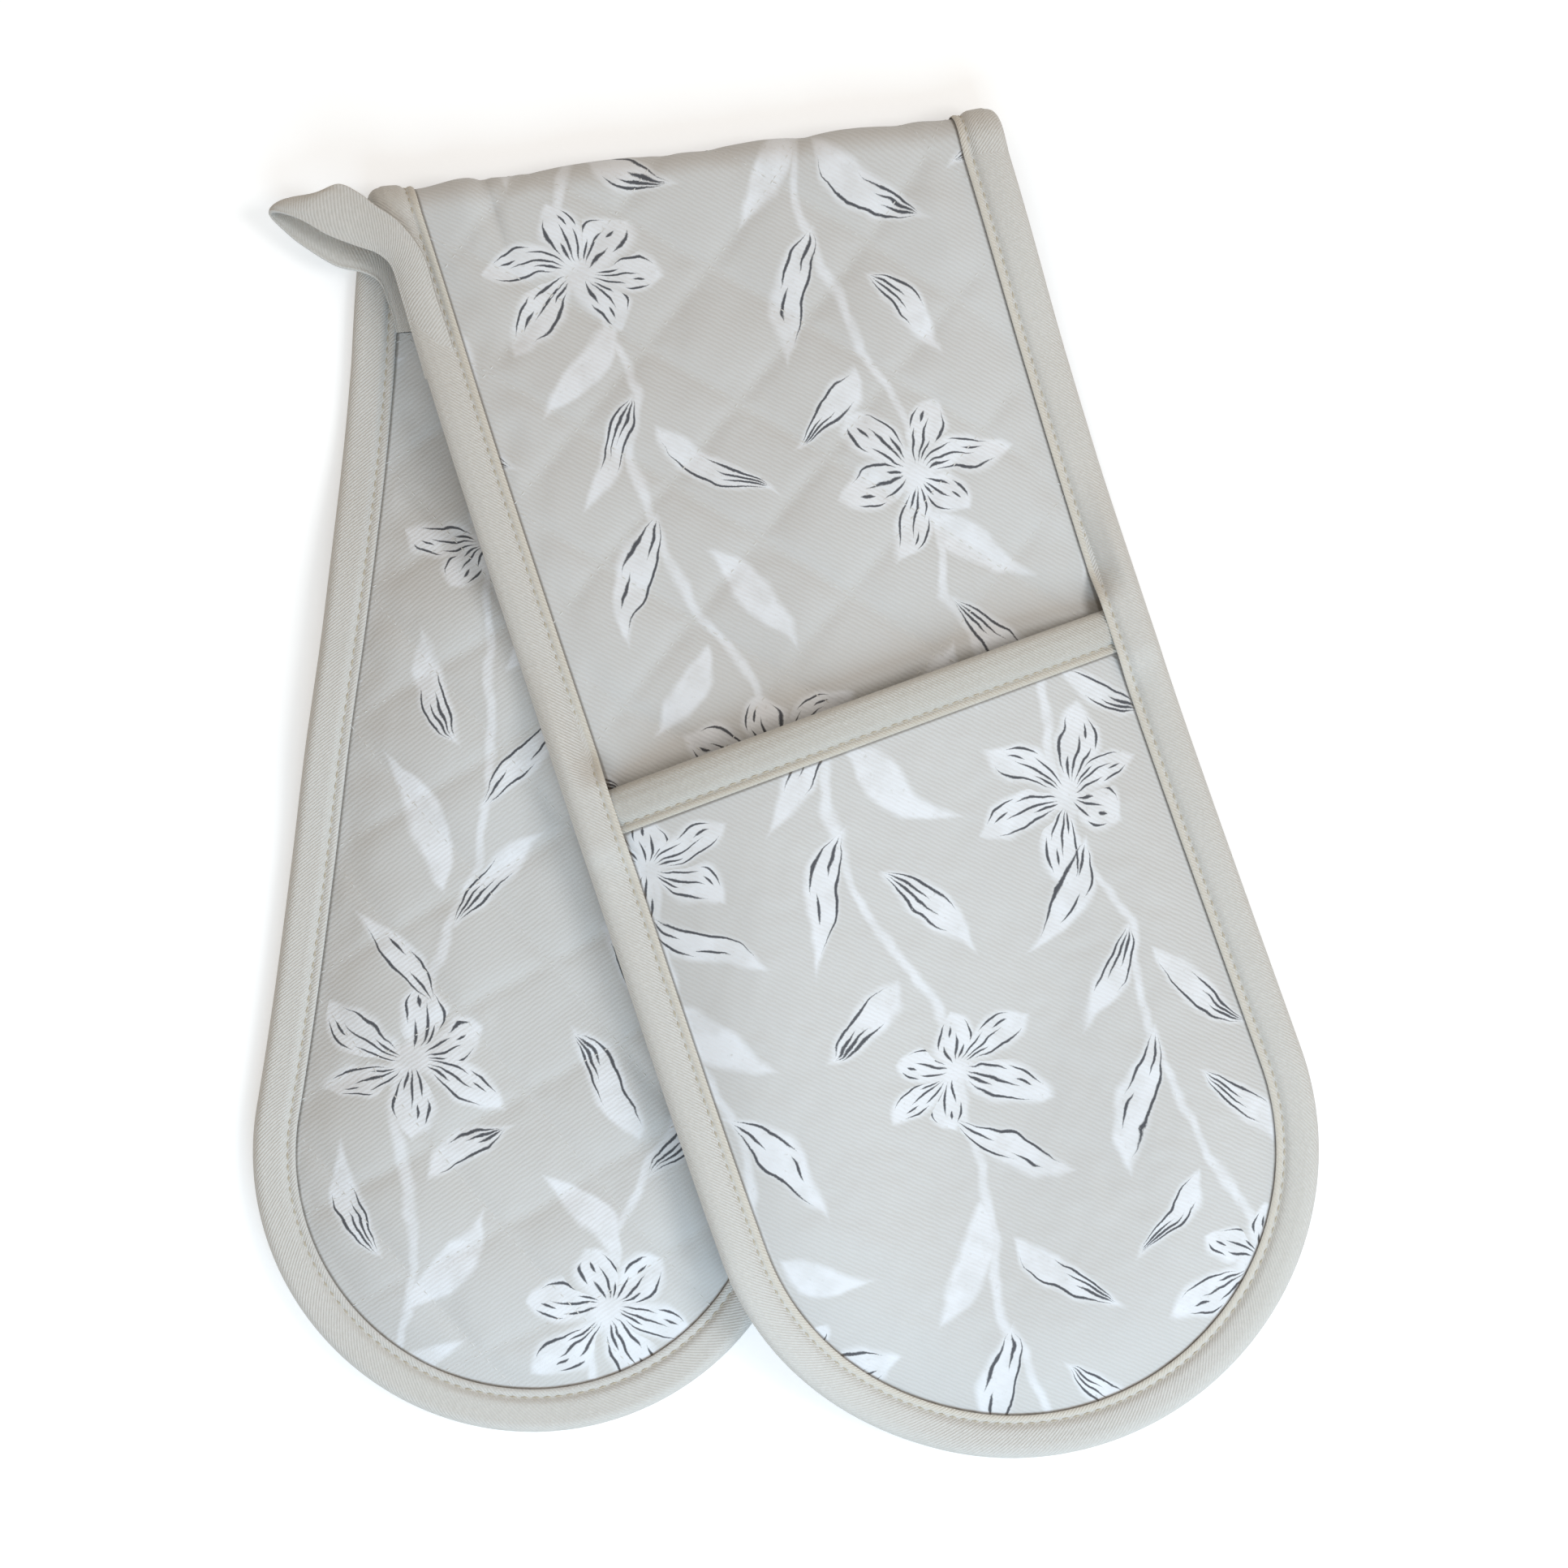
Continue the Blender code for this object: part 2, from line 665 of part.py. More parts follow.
def build():
    for old in list(bpy.data.objects):
        bpy.data.objects.remove(old)
    back = BackArm(
        "back", -1, BACK_LEAN, BACK_LENGTH, BACK_POCKET_DEPTH, BACK_MOUTH_WIDTH, BACK_END_WIDTH
    )
    front = FrontArm(
        "front",
        1,
        FRONT_LEAN,
        FRONT_LENGTH,
        FRONT_POCKET_DEPTH,
        FRONT_MOUTH_WIDTH,
        FRONT_END_WIDTH,
        under=back,
    )
    still = arm_pieces(back) + fold_pieces()
    lifted = arm_pieces(front)
    loop = hanging_loop(front, material("hanging_loop", TAPE_COLOUR))
    middle = rest_centre([*still, *lifted, loop])
    root = sewn_key(front, SEWN_START, 0, 0)[0]
    loop_hinge = carry("loop_hinge", root, [loop])
    fold_hinge = carry("fold_hinge", Vector((0, 0, AXIS_HEIGHT)), [*lifted, loop_hinge])
    glove = carry("glove", Vector((0, 0, 0)), [*still, fold_hinge])
    glove.location = -middle


build()
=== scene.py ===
"""Double oven glove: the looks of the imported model, made of dense cloth sheets, pads, tapes and threads."""

import math
from functools import partialmethod

import bpy
import numpy as np
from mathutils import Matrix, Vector


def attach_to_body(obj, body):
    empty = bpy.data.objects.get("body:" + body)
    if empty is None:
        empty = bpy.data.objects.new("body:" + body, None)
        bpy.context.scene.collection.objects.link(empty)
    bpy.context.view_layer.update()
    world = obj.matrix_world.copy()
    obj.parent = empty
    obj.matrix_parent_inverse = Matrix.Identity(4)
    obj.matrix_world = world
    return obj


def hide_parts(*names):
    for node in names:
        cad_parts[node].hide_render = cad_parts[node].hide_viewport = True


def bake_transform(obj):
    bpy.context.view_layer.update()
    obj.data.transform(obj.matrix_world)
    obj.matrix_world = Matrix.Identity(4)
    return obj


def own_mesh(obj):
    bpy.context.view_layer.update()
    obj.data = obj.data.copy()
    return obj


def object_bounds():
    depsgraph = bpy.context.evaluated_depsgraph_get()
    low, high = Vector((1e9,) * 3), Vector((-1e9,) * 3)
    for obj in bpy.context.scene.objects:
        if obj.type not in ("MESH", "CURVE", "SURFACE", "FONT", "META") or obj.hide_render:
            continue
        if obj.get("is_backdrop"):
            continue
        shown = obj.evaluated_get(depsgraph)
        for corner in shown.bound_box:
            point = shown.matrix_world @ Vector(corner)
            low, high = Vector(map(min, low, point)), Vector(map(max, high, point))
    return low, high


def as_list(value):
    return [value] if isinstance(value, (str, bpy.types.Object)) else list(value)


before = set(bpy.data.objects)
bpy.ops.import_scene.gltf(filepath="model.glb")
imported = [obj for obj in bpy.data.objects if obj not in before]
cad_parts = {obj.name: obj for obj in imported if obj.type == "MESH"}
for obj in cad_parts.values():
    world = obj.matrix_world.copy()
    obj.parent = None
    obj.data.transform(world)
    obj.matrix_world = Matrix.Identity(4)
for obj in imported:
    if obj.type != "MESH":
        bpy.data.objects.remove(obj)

CAD_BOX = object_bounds()

# Plan and heights of the folded strip, the same values as in the part's source
CLOTH = 0.0006
PLY_GAP = 0.0003
SEAM_GAP = 0.0007
STRIP_PUFFED = 0.0060
STRIP_PRESSED = 0.0034
POCKET_PUFFED = 0.0040
POCKET_PRESSED = 0.0024
TAPE = 0.0010
PUFF_RUN = 0.0120
TAPE_BEND_WALL = 0.0016
TAPE_REACH = 0.0130
FOLD_WIDTH = 0.180
FRONT_LEAN = math.radians(10.0)
BACK_LEAN = math.radians(15.0)
BEND_START = 0.050
BEND_RADIUS = 6.6
FRONT_LENGTH = 0.398
BACK_LENGTH = 0.378
MOUTH_SLANT = math.radians(-1.7)
SLANT_END = 0.075
FOLD_RADIUS = 0.0070
FOLD_BAND = 0.0300
FOLD_RAMP = 0.060
BACK_CROWN = 0.0120
BACK_SWELL = 0.045
BACK_RISE = 0.080
BACK_SPREAD = 0.032
MOUTH_SETTLE = 0.045
MOUTH_CLEARANCE = 0.0003
FRONT_CAVITY = 0.0080
FRONT_SWELL = 0.038
SKIRT = 0.066
SHOULDER = 0.035

STRIP_SIDES = (-STRIP_PRESSED / 2, STRIP_PRESSED / 2)
POCKET_SIDES = (-POCKET_PRESSED / 2, POCKET_PRESSED / 2)
STRIP_HALF = STRIP_PUFFED / 2
POCKET_HALF = POCKET_PUFFED / 2
INSET = TAPE_BEND_WALL + SEAM_GAP
FACE_INSET = TAPE_REACH + PLY_GAP
QUARTER_TURN = FOLD_RADIUS * math.pi / 2
BAND_END = FOLD_BAND / 2
FLAT_STACK = STRIP_PRESSED / 2 + SEAM_GAP + TAPE
MOUTH_STACK = POCKET_PRESSED + 2 * (SEAM_GAP + TAPE)
MOUTH_EDGE = SEAM_GAP + MOUTH_STACK
POCKET_EDGE = SEAM_GAP + POCKET_PRESSED
LEVEL = max(STRIP_HALF, FLAT_STACK)
AXIS_HEIGHT = LEVEL + FOLD_RADIUS

# The strip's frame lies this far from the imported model's
SHIFT = np.array([0.007243, 0.184139, 0.0])

# Quilting: for each family of lines its slant and its phase on each arm, matched to the photograph's lines
QUILT_PITCH = 0.0300
QUILT_DEPTH = 0.0013
FRONT_QUILT = (math.radians(40.5), math.radians(57.0))
BACK_QUILT = (math.radians(51.0), math.radians(50.0))
FRONT_PHASE = (-0.10, 0.0)
BACK_PHASE = (-0.09, 0.20)
QUILT_WARP, QUILT_WARP_LENGTH, QUILT_SEED = 0.0010, 0.11, 31
SWING_RUN = 0.12
STITCH_VALLEY, SOFT_VALLEY = 0.0021, 0.0085

# Mesh pitches, and the least length that is divided by
FINE = 0.0016
COARSE = 0.0060
FOLD_PITCH = 0.0015
TINY = 1e-12


def smooth(x):
    x = np.clip(x, 0.0, 1.0)
    return x * x * (3 - 2 * x)


def swell(x):
    x = np.clip(x, 0.0, 1.0)
    return 1 - (1 - x) ** 2


def mix(a, b, share):
    return a + (b - a) * share


def ripple(x, y, length, seed, waves=7):
    """Smooth unevenness between about -1 and 1, with bumps of this length."""
    rng = np.random.RandomState(seed)
    total = np.zeros(np.broadcast(x, y).shape)
    for _ in range(waves):
        turn, phase = rng.uniform(0, 2 * math.pi, 2)
        rate = 2 * math.pi / (length * rng.uniform(0.7, 1.6))
        total += np.sin(rate * (x * math.cos(turn) + y * math.sin(turn)) + phase)
    return total / math.sqrt(2 * waves)


class Arm:
    """Half of the strip: s from the fold to the tip, t from left to right, n from inner to outer face."""

    def __init__(self, name, side, lean, length, pocket_depth, mouth_width, end_width):
        self.name = name
        self.side = side
        self.sin, self.cos = math.sin(lean), math.cos(lean)
        self.length = length
        self.mouth = length - pocket_depth
        self.mouth_half = mouth_width / 2
        self.end_half = end_width / 2
        self.round_start = length - self.end_half

    def half_width(self, s):
        near = mix(FOLD_WIDTH / 2, self.mouth_half, smooth(s / self.mouth))
        past = (s - self.mouth) / (self.round_start - self.mouth)
        far = mix(self.mouth_half, self.end_half, smooth(past))
        return np.where(s < self.mouth, near, far)

    def start(self, t):
        return (BAND_END + self.side * t * self.sin) / self.cos

    def row(self, station, t):
        """s of a row of points: along the fold at first, then square to the arm, slanted at the mouth."""
        first = self.start(t)
        share = (station - self.start(0)) / (SLANT_END - self.start(0))
        skewed = mix(first, SLANT_END, share)
        near = (station - SLANT_END) / (self.mouth - SLANT_END)
        far = (self.round_start - station) / (self.round_start - self.mouth)
        slant = smooth(np.where(station < self.mouth, near, far))
        return np.where(station < SLANT_END, skewed, station + t * math.tan(MOUTH_SLANT) * slant)

    def past_mouth(self, s, t):
        """How far a point lies from the pocket's mouth towards the tip."""
        return s - self.row(self.mouth, t)

    def edge_distance(self, s, t):
        """How far a point lies inside the arm's outline."""
        side = self.half_width(s) - np.abs(t)
        tip = self.end_half - np.hypot(s - self.round_start, t)
        return np.where(s < self.round_start, side, tip)

    def inward(self, s, t, run):
        """0 at the edge tape and 1 this much further in."""
        return (self.edge_distance(s, t) - FACE_INSET) / run

    def freedom(self, s, t):
        return smooth(self.inward(s, t, PUFF_RUN))

    def past_tape(self, s, t, run=TAPE_REACH):
        """0 on the pocket's mouth tape and 1 this much further towards the tip."""
        return smooth((self.past_mouth(s, t) - FACE_INSET) / run)

    def lay(self, s, t):
        turn = np.maximum(s - BEND_START, 0) / BEND_RADIUS
        reach = BEND_RADIUS - self.side * t
        along = np.minimum(s, BEND_START) + reach * np.sin(turn)
        across = self.side * (BEND_RADIUS - reach * np.cos(turn))
        x = self.side * along * self.sin + across * self.cos
        past = along * self.cos - self.side * across * self.sin
        return x, past

    def unlay(self, x, past):
        """The strip point (s, t) at a plan position."""
        along = past * self.cos + self.side * x * self.sin
        across = x * self.cos - self.side * past * self.sin
        rest = BEND_RADIUS - self.side * across
        ahead = np.maximum(along - BEND_START, 0)
        turn = np.arctan2(ahead, rest)
        reach = np.hypot(ahead, rest)
        s = np.where(along < BEND_START, along, BEND_START + turn * BEND_RADIUS)
        t = np.where(along < BEND_START, across, self.side * (BEND_RADIUS - reach))
        return s, t

    def stack(self, s, t):
        """Thickness that the pocket adds to the strip's edge: most where the mouth tape passes."""
        mouth = smooth((self.past_mouth(s, t) + TAPE_REACH) / (TAPE_REACH - TAPE))
        return mouth * mix(MOUTH_EDGE, POCKET_EDGE, self.past_tape(s, t))

    def point(self, s, t, height, n):
        x, past = self.lay(s, t)
        z = height + self.side * n
        return np.stack(np.broadcast_arrays(x, QUARTER_TURN - past, z), axis=-1)

    def strip_point(self, s, t, n):
        return self.point(s, t, self.strip_height(s, t), n)

    def pocket_point(self, s, t, n):
        return self.point(s, t, self.pocket_height(s, t), n)

    def mouth_lift(self, s, t):
        """How much the mouth tape under the panel's edge holds it off the strip."""
        return (SEAM_GAP + TAPE) * (1 - self.past_tape(s, t))

    def pocket_seam(self, s, t):
        """Offset of the pocket panel's middle from the strip's at their shared seam."""
        return STRIP_PRESSED / 2 + self.stack(s, t) - POCKET_PRESSED / 2 - self.mouth_lift(s, t)


class BackArm(Arm):
    """Lies on the table, its pocket underneath and its strip arched over the pocket."""

    def strip_height(self, s, t):
        rise = smooth((self.past_mouth(s, t) + BACK_RISE) / (BACK_RISE - TAPE_REACH))
        edge = mix(MOUTH_EDGE, POCKET_EDGE, self.past_tape(s, t, MOUTH_SETTLE))
        crown = BACK_CROWN * swell(self.inward(s, t, BACK_SWELL))
        return LEVEL + rise * (edge + crown)

    def pocket_height(self, s, t):
        seam = self.strip_height(s, t) - self.pocket_seam(s, t)
        lift = MOUTH_STACK / 2 + MOUTH_CLEARANCE - POCKET_HALF
        middle = POCKET_HALF + lift * (1 - self.past_tape(s, t))
        return mix(seam, middle, smooth(self.inward(s, t, BACK_SPREAD)))


class FrontArm(Arm):
    """Lies over the back arm and down onto the table beside it, its pocket on top."""

    def support(self, x, past):
        """Height of what the arm lies on: the back arm, with a slope down to the table beside it."""
        s, t = BACK.unlay(x, past)
        tip = BACK.end_half - np.hypot(s - BACK.round_start, np.maximum(t, 0))
        inside = np.where(s < BACK.round_start, BACK.half_width(s) - t, tip)
        crown = 2 * LEVEL + MOUTH_EDGE + BACK_CROWN
        level = mix(2 * FOLD_RADIUS, crown, smooth(s / BACK.mouth))
        slope = level * smooth((inside + SKIRT) / (SKIRT + SHOULDER))
        return mix(2 * FOLD_RADIUS, slope + PLY_GAP, smooth((past - BAND_END) / FOLD_RAMP))

    def strip_height(self, s, t):
        return LEVEL + self.support(*self.lay(s, t))

    def pocket_height(self, s, t):
        seam = self.pocket_seam(s, t)
        open_middle = STRIP_HALF + FRONT_CAVITY + POCKET_HALF
        return self.strip_height(s, t) + mix(seam, open_middle, swell(self.inward(s, t, FRONT_SWELL)))


BACK = BackArm("back", -1, BACK_LEAN, BACK_LENGTH, pocket_depth=0.215, mouth_width=0.1685, end_width=0.163)
FRONT = FrontArm("front", 1, FRONT_LEAN, FRONT_LENGTH, pocket_depth=0.229, mouth_width=0.1775, end_width=0.179)


def band_lean(b):
    return mix(BACK_LEAN, FRONT_LEAN, (b / BAND_END + 1) / 2)


def fold_point(b, t, n):
    """A point of the band that turns round the fold: b runs round it, from the back arm to the front."""
    lean = band_lean(b)
    x = b * np.tan(lean) + t / np.cos(lean)
    angle = np.clip(b / FOLD_RADIUS, -math.pi / 2, math.pi / 2)
    past = np.abs(b) - QUARTER_TURN
    y = (FOLD_RADIUS + n) * np.cos(angle) - np.maximum(past, 0)
    z = AXIS_HEIGHT + (FOLD_RADIUS + n) * np.sin(angle)
    return np.stack(np.broadcast_arrays(x, y, z), axis=-1)


def band_flat(b, t):
    """Place along the strip of a point of the fold band: below 0 on the back arm, above 0 on the front."""
    return (b + t * np.sin(band_lean(b))) / np.cos(band_lean(b))


# Quilting: two families of lines whose slant changes a little from arm to arm
LENGTHS = np.linspace(-0.45, 0.45, 901)
SWING = smooth(LENGTHS / SWING_RUN + 0.5)


def quilt_family(index, sign):
    across = mix(math.cos(BACK_QUILT[index]), math.cos(FRONT_QUILT[index]), SWING)
    along = mix(math.sin(BACK_QUILT[index]), math.sin(FRONT_QUILT[index]), SWING)
    run = np.concatenate([[0], np.cumsum((along[1:] + along[:-1]) / 2 * np.diff(LENGTHS))])
    run -= np.interp(0, LENGTHS, run)

    def phase(t, v):
        warp = QUILT_WARP * ripple(t, v, QUILT_WARP_LENGTH, QUILT_SEED + index)
        a, f, swung = (np.interp(v, LENGTHS, values) for values in (across, run, SWING))
        return (t * a + sign * f + warp) / QUILT_PITCH + mix(BACK_PHASE[index], FRONT_PHASE[index], swung)

    return phase


QUILT = (quilt_family(0, -1), quilt_family(1, 1))


def seam_distance(t, v):
    turns = [phase(t, v) for phase in QUILT]
    return np.minimum(*[np.abs(x - np.round(x)) * QUILT_PITCH for x in turns])


def bell(x, width):
    return np.exp(-((x / width) ** 2))


def quilting(t, v):
    """How deep the stitching pulls the cloth in, from 0 to 1."""
    d = seam_distance(t, v)
    return 0.5 * bell(d, STITCH_VALLEY) + 0.5 * bell(d, SOFT_VALLEY)


# The cloth's puffs between its stitching: a cloth simulation of the flat cover, held along every seam
# The grid's pitch, its columns on each side of the middle, how much larger it is run, and its frames
SIM_PITCH, SIM_ACROSS = 0.0030, 30
SIM_SCALE = 10.0
SIM_FRAMES = 20
SIM_CLOTH = {
    "quality": 5,
    "mass": 0.01,
    "tension_stiffness": 15,
    "compression_stiffness": 15,
    "bending_stiffness": 0.15,
    "vertex_group_mass": "held",
    "pin_stiffness": 20,
    "use_pressure": True,
}
# The start's unevenness, and how wide the cloth is held at a seam and along the edge
SIM_UNEVEN, SIM_UNEVEN_LENGTH = 0.002, 0.014
SEAM_REACH = 0.0017
RIM_PAST, RIM_RUN = 0.002, 0.003
# Slack, pressure and seed of each simulation, the most that it lifts a cover, and its share of the quilting
COVER_SLACK, COVER_PRESSURE, COVER_SEED = 0.010, 2.0, 3
POCKET_SLACK, POCKET_PRESSURE, POCKET_SEED = 0.004, 0.6, 8
COVER_PUFF, POCKET_PUFF = 0.0013, 0.0012
VALLEY_SHARE, LIFT_SHARE, LIFT_GAIN = 0.30, 0.70, 1.08
# A face's corners in the order in which its other side has them, from the same corner on
TURNED = [0, 3, 2, 1]


def grid_faces(index):
    """Corners of the faces between the rows and columns of a grid of point numbers."""
    a, b = index[..., :-1, :-1], index[..., 1:, :-1]
    c, d = index[..., 1:, 1:], index[..., :-1, 1:]
    return np.stack([a, b, c, d], axis=-1).reshape(-1, 4)


def shown(name, data):
    made = bpy.data.objects.new(name, data)
    bpy.context.scene.collection.objects.link(made)
    return made


def relax(t, v, hold, slack, pressure, seed):
    """How far a sheet of cloth with some slack lifts off its flat place, where hold is 1 at its seams."""
    rows, across = t.shape
    start = SIM_UNEVEN * (1 - hold) * (0.5 + 0.5 * ripple(t, v, SIM_UNEVEN_LENGTH, seed))
    points = np.stack([t * SIM_SCALE, v * SIM_SCALE, start], axis=-1).reshape(-1, 3)
    index = np.arange(rows * across).reshape(rows, across)
    mesh = bpy.data.meshes.new("relax")
    mesh.from_pydata(points.tolist(), [], grid_faces(index)[:, TURNED].tolist())
    cloth = shown("relax", mesh)
    held = cloth.vertex_groups.new(name="held")
    weight = np.round(hold.ravel(), 2)
    for level in np.unique(weight):
        held.add(np.nonzero(weight == level)[0].tolist(), float(level), "REPLACE")
    modifier = cloth.modifiers.new("cloth", "CLOTH")
    facts = {**SIM_CLOTH, "shrink_min": -slack, "uniform_pressure_force": pressure}
    for key, value in facts.items():
        setattr(modifier.settings, key, value)
    modifier.settings.effector_weights.gravity = 0
    modifier.collision_settings.use_collision = False
    modifier.point_cache.frame_end = SIM_FRAMES
    for frame_number in range(1, SIM_FRAMES + 1):
        bpy.context.scene.frame_set(frame_number)
    settled = cloth.evaluated_get(bpy.context.evaluated_depsgraph_get()).data
    places = np.empty(len(settled.vertices) * 3, np.float32)
    settled.vertices.foreach_get("co", places)
    bpy.context.scene.frame_set(1)
    bpy.data.objects.remove(cloth)
    return np.maximum(places.reshape(rows, across, 3)[..., 2].astype(float) / SIM_SCALE, 0)


def edge_distance(t, v):
    """How far a place on the strip lies inside its outline."""
    return np.where(v < 0, BACK.edge_distance(-v, t), FRONT.edge_distance(v, t))


def simulate(seams, slack, pressure, seed):
    """The lift over a grid of the whole strip, as (first t, first v, grid)."""
    rows = round((BACK_LENGTH + FRONT_LENGTH) / SIM_PITCH) + 1
    across = SIM_PITCH * np.arange(-SIM_ACROSS, SIM_ACROSS + 1)
    v, t = np.meshgrid(-BACK_LENGTH + SIM_PITCH * np.arange(rows), across, indexing="ij")
    rim = smooth((FACE_INSET + RIM_PAST - edge_distance(t, v)) / RIM_RUN)
    hold = np.maximum(bell(seams(t, v), SEAM_REACH), rim)
    return t[0, 0], v[0, 0], relax(t, v, hold, slack, pressure, seed)


def sampled(field, t, v):
    """A simulated lift at any place, smooth between the grid's points (uniform cubic B-spline)."""
    first_t, first_v, grid = field
    total = 0
    parts = []
    for value, first, count in ((v, first_v, grid.shape[0]), (t, first_t, grid.shape[1])):
        x = np.clip((value - first) / SIM_PITCH, 1, count - 3 - TINY)
        i = x.astype(int)
        f = x - i
        weights = ((1 - f) ** 3, 3 * f**3 - 6 * f**2 + 4, -3 * f**3 + 3 * f**2 + 3 * f + 1, f**3)
        parts.append((i, weights))
    (row, down), (column, over) = parts
    for j in range(4):
        for k in range(4):
            total = total + down[j] * over[k] * grid[row + j - 1, column + k - 1]
    return total / 36


def mouth_distance(t, v):
    """How far a place lies past its pocket's mouth tape, and 0 on the cloth that has no pocket."""
    s = np.abs(v)
    past = np.where(v < 0, BACK.past_mouth(s, t), FRONT.past_mouth(s, t))
    return np.maximum(past - FACE_INSET, 0)


COVER_LIFT = POCKET_LIFT = None
COVER_LIFT = simulate(seam_distance, COVER_SLACK, COVER_PRESSURE, COVER_SEED)
POCKET_LIFT = simulate(mouth_distance, POCKET_SLACK, POCKET_PRESSURE, POCKET_SEED)


def sunk(t, v):
    """How deep the quilting pulls a cover in, from about 0 to 1."""
    valley = quilting(t, v)
    if COVER_LIFT is None:
        return valley
    lift = np.tanh(sampled(COVER_LIFT, t, v) / COVER_PUFF)
    return VALLEY_SHARE * valley + LIFT_SHARE * (1 - LIFT_GAIN * lift)


# The small tuck and the bump beside it where the strip turns over: height, place across, width
BUMP = (0.0006, -0.063, 0.0040)
TUCK = (-0.0011, -0.0575, 0.0018)
TUCK_RUN = 0.017


def tuck(t, v):
    return bell(v, TUCK_RUN) * sum(height * bell(t - place, width) for height, place, width in (BUMP, TUCK))


def cover_half(free, t, v):
    """Half the thickness of the quilted strip, where free is 0 in the edge tape and 1 inside it."""
    return mix(STRIP_PRESSED, STRIP_PUFFED, free) / 2 + free * (tuck(t, v) - QUILT_DEPTH * sunk(t, v))


class Graph:
    """The nodes of a material or a world, each made and joined in one call to values or sockets."""

    def __init__(self, owner, empty=False):
        self.owner = owner
        owner.use_nodes = True
        self.tree = owner.node_tree
        if empty:
            self.tree.nodes.clear()

    def node(self, kind, inputs=(), **settings):
        made = self.tree.nodes.new("ShaderNode" + kind)
        for key, value in settings.items():
            setattr(made, key, value)
        pairs = inputs.items() if isinstance(inputs, dict) else enumerate(inputs)
        for key, value in pairs:
            self.join(value, made.inputs[key])
        return made

    def join(self, value, socket):
        if isinstance(value, bpy.types.NodeSocket):
            self.tree.links.new(value, socket)
        elif value is not None:
            if hasattr(socket.default_value, "__len__") and not hasattr(value, "__len__"):
                value = (value,) * 3
            socket.default_value = value

    def math(self, operation, *inputs):
        return self.node("Math", inputs, operation=operation).outputs[0]

    def vector(self, operation, *inputs):
        made = self.node("VectorMath", inputs, operation=operation)
        return made.outputs["Value" if operation == "LENGTH" else "Vector"]

    add = partialmethod(math, "ADD")
    sub = partialmethod(math, "SUBTRACT")
    mul = partialmethod(math, "MULTIPLY")
    mad = partialmethod(math, "MULTIPLY_ADD")
    max = partialmethod(math, "MAXIMUM")
    div = partialmethod(math, "DIVIDE")
    vsub = partialmethod(vector, "SUBTRACT")
    vmul = partialmethod(vector, "MULTIPLY")
    vmad = partialmethod(vector, "MULTIPLY_ADD")

    def parts(self, triple):
        return self.node("SeparateXYZ", [triple]).outputs

    def join_parts(self, *three):
        return self.node("CombineXYZ", three).outputs[0]

    def dice(self, place):
        return self.node("TexWhiteNoise", {"Vector": place}, noise_dimensions="3D").outputs

    def flat(self):
        """The place on the cut cloth, in millimetres."""
        place = self.vector("SCALE", self.node("UVMap", uv_map="flat").outputs[0])
        self.join(1000.0, place.node.inputs["Scale"])
        return place

    def ramp(self, value, low, high):
        """0 up to low, 1 from high on, and smooth between them."""
        inputs = {"Value": value, "From Min": low, "From Max": high}
        return self.node("MapRange", inputs, interpolation_type="SMOOTHSTEP").outputs["Result"]

    def noise(self, place, scale, detail=2.0, roughness=0.5):
        inputs = {"Vector": place, "Scale": scale, "Detail": detail, "Roughness": roughness}
        return self.node("TexNoise", inputs, noise_dimensions="3D").outputs

    def blend(self, share, low, high):
        made = self.node("Mix", data_type="RGBA")
        for value, index in ((share, 0), (low, 6), (high, 7)):
            self.join(value, made.inputs[index])
        return made.outputs[2]

    def lowest(self, triple):
        parts = self.parts(triple)
        return self.math("MINIMUM", self.math("MINIMUM", parts[0], parts[1]), parts[2])

    def seen(self):
        """1 for the rays that show a surface to the eye, 0 for those that light the object."""
        rays = self.node("LightPath").outputs
        direct = self.max(rays["Is Camera Ray"], rays["Is Glossy Ray"])
        return self.max(direct, rays["Is Transmission Ray"])

    def cloth(self, colour, rough, sheen, sheen_rough, specular, height, distance, strength):
        """Sets the cloth's own shader. Height is the relief of its threads."""
        bump = {"Strength": strength, "Distance": distance, "Height": height}
        values = {
            "Base Color": colour,
            "Roughness": rough,
            "Sheen Weight": sheen,
            "Sheen Roughness": sheen_rough,
            "Specular IOR Level": specular,
            "Normal": self.node("Bump", bump).outputs[0],
        }
        for name, value in values.items():
            self.join(value, self.tree.nodes["Principled BSDF"].inputs[name])
        return self.owner


def screen(*parts):
    """A colour given as it looks on screen."""
    return tuple((part / 255) ** 2.2 for part in parts) + (1,)


# The print, made up for this part: trailing sprigs with open six-petalled blossoms, in millimetres.
# How the hand-drawn lines stray, for each size of unevenness: its length, its detail and its reach
STRAY = ((34, 1.0, 13.0), (10, 1.0, 3.6), (3.2, 2.0, 0.75))
COLUMN, PERIOD, COLUMN_SHIFT = 66.0, 150.0, 0.437
STEM_SWAY, STEM_WHITE = 6.5, 0.85
# Each leaf: middle x and y, heading, half length, half width, bend
LEAVES = (
    ((-12.5, -60, 128, 17.0, 4.3, 2.4), (15.5, -47, 50, 19.0, 4.8, -2.6), (-14.0, -22, 118, 19.5, 4.6, -2.2)),
    ((13.0, -8, 62, 16.5, 4.6, 2.6), (-15.5, 12, 140, 14.0, 4.4, 2.0), (15.0, 62, 44, 17.5, 4.6, -2.4)),
)
LEAF_TAPER, BARE_FROM = 0.25, 0.70
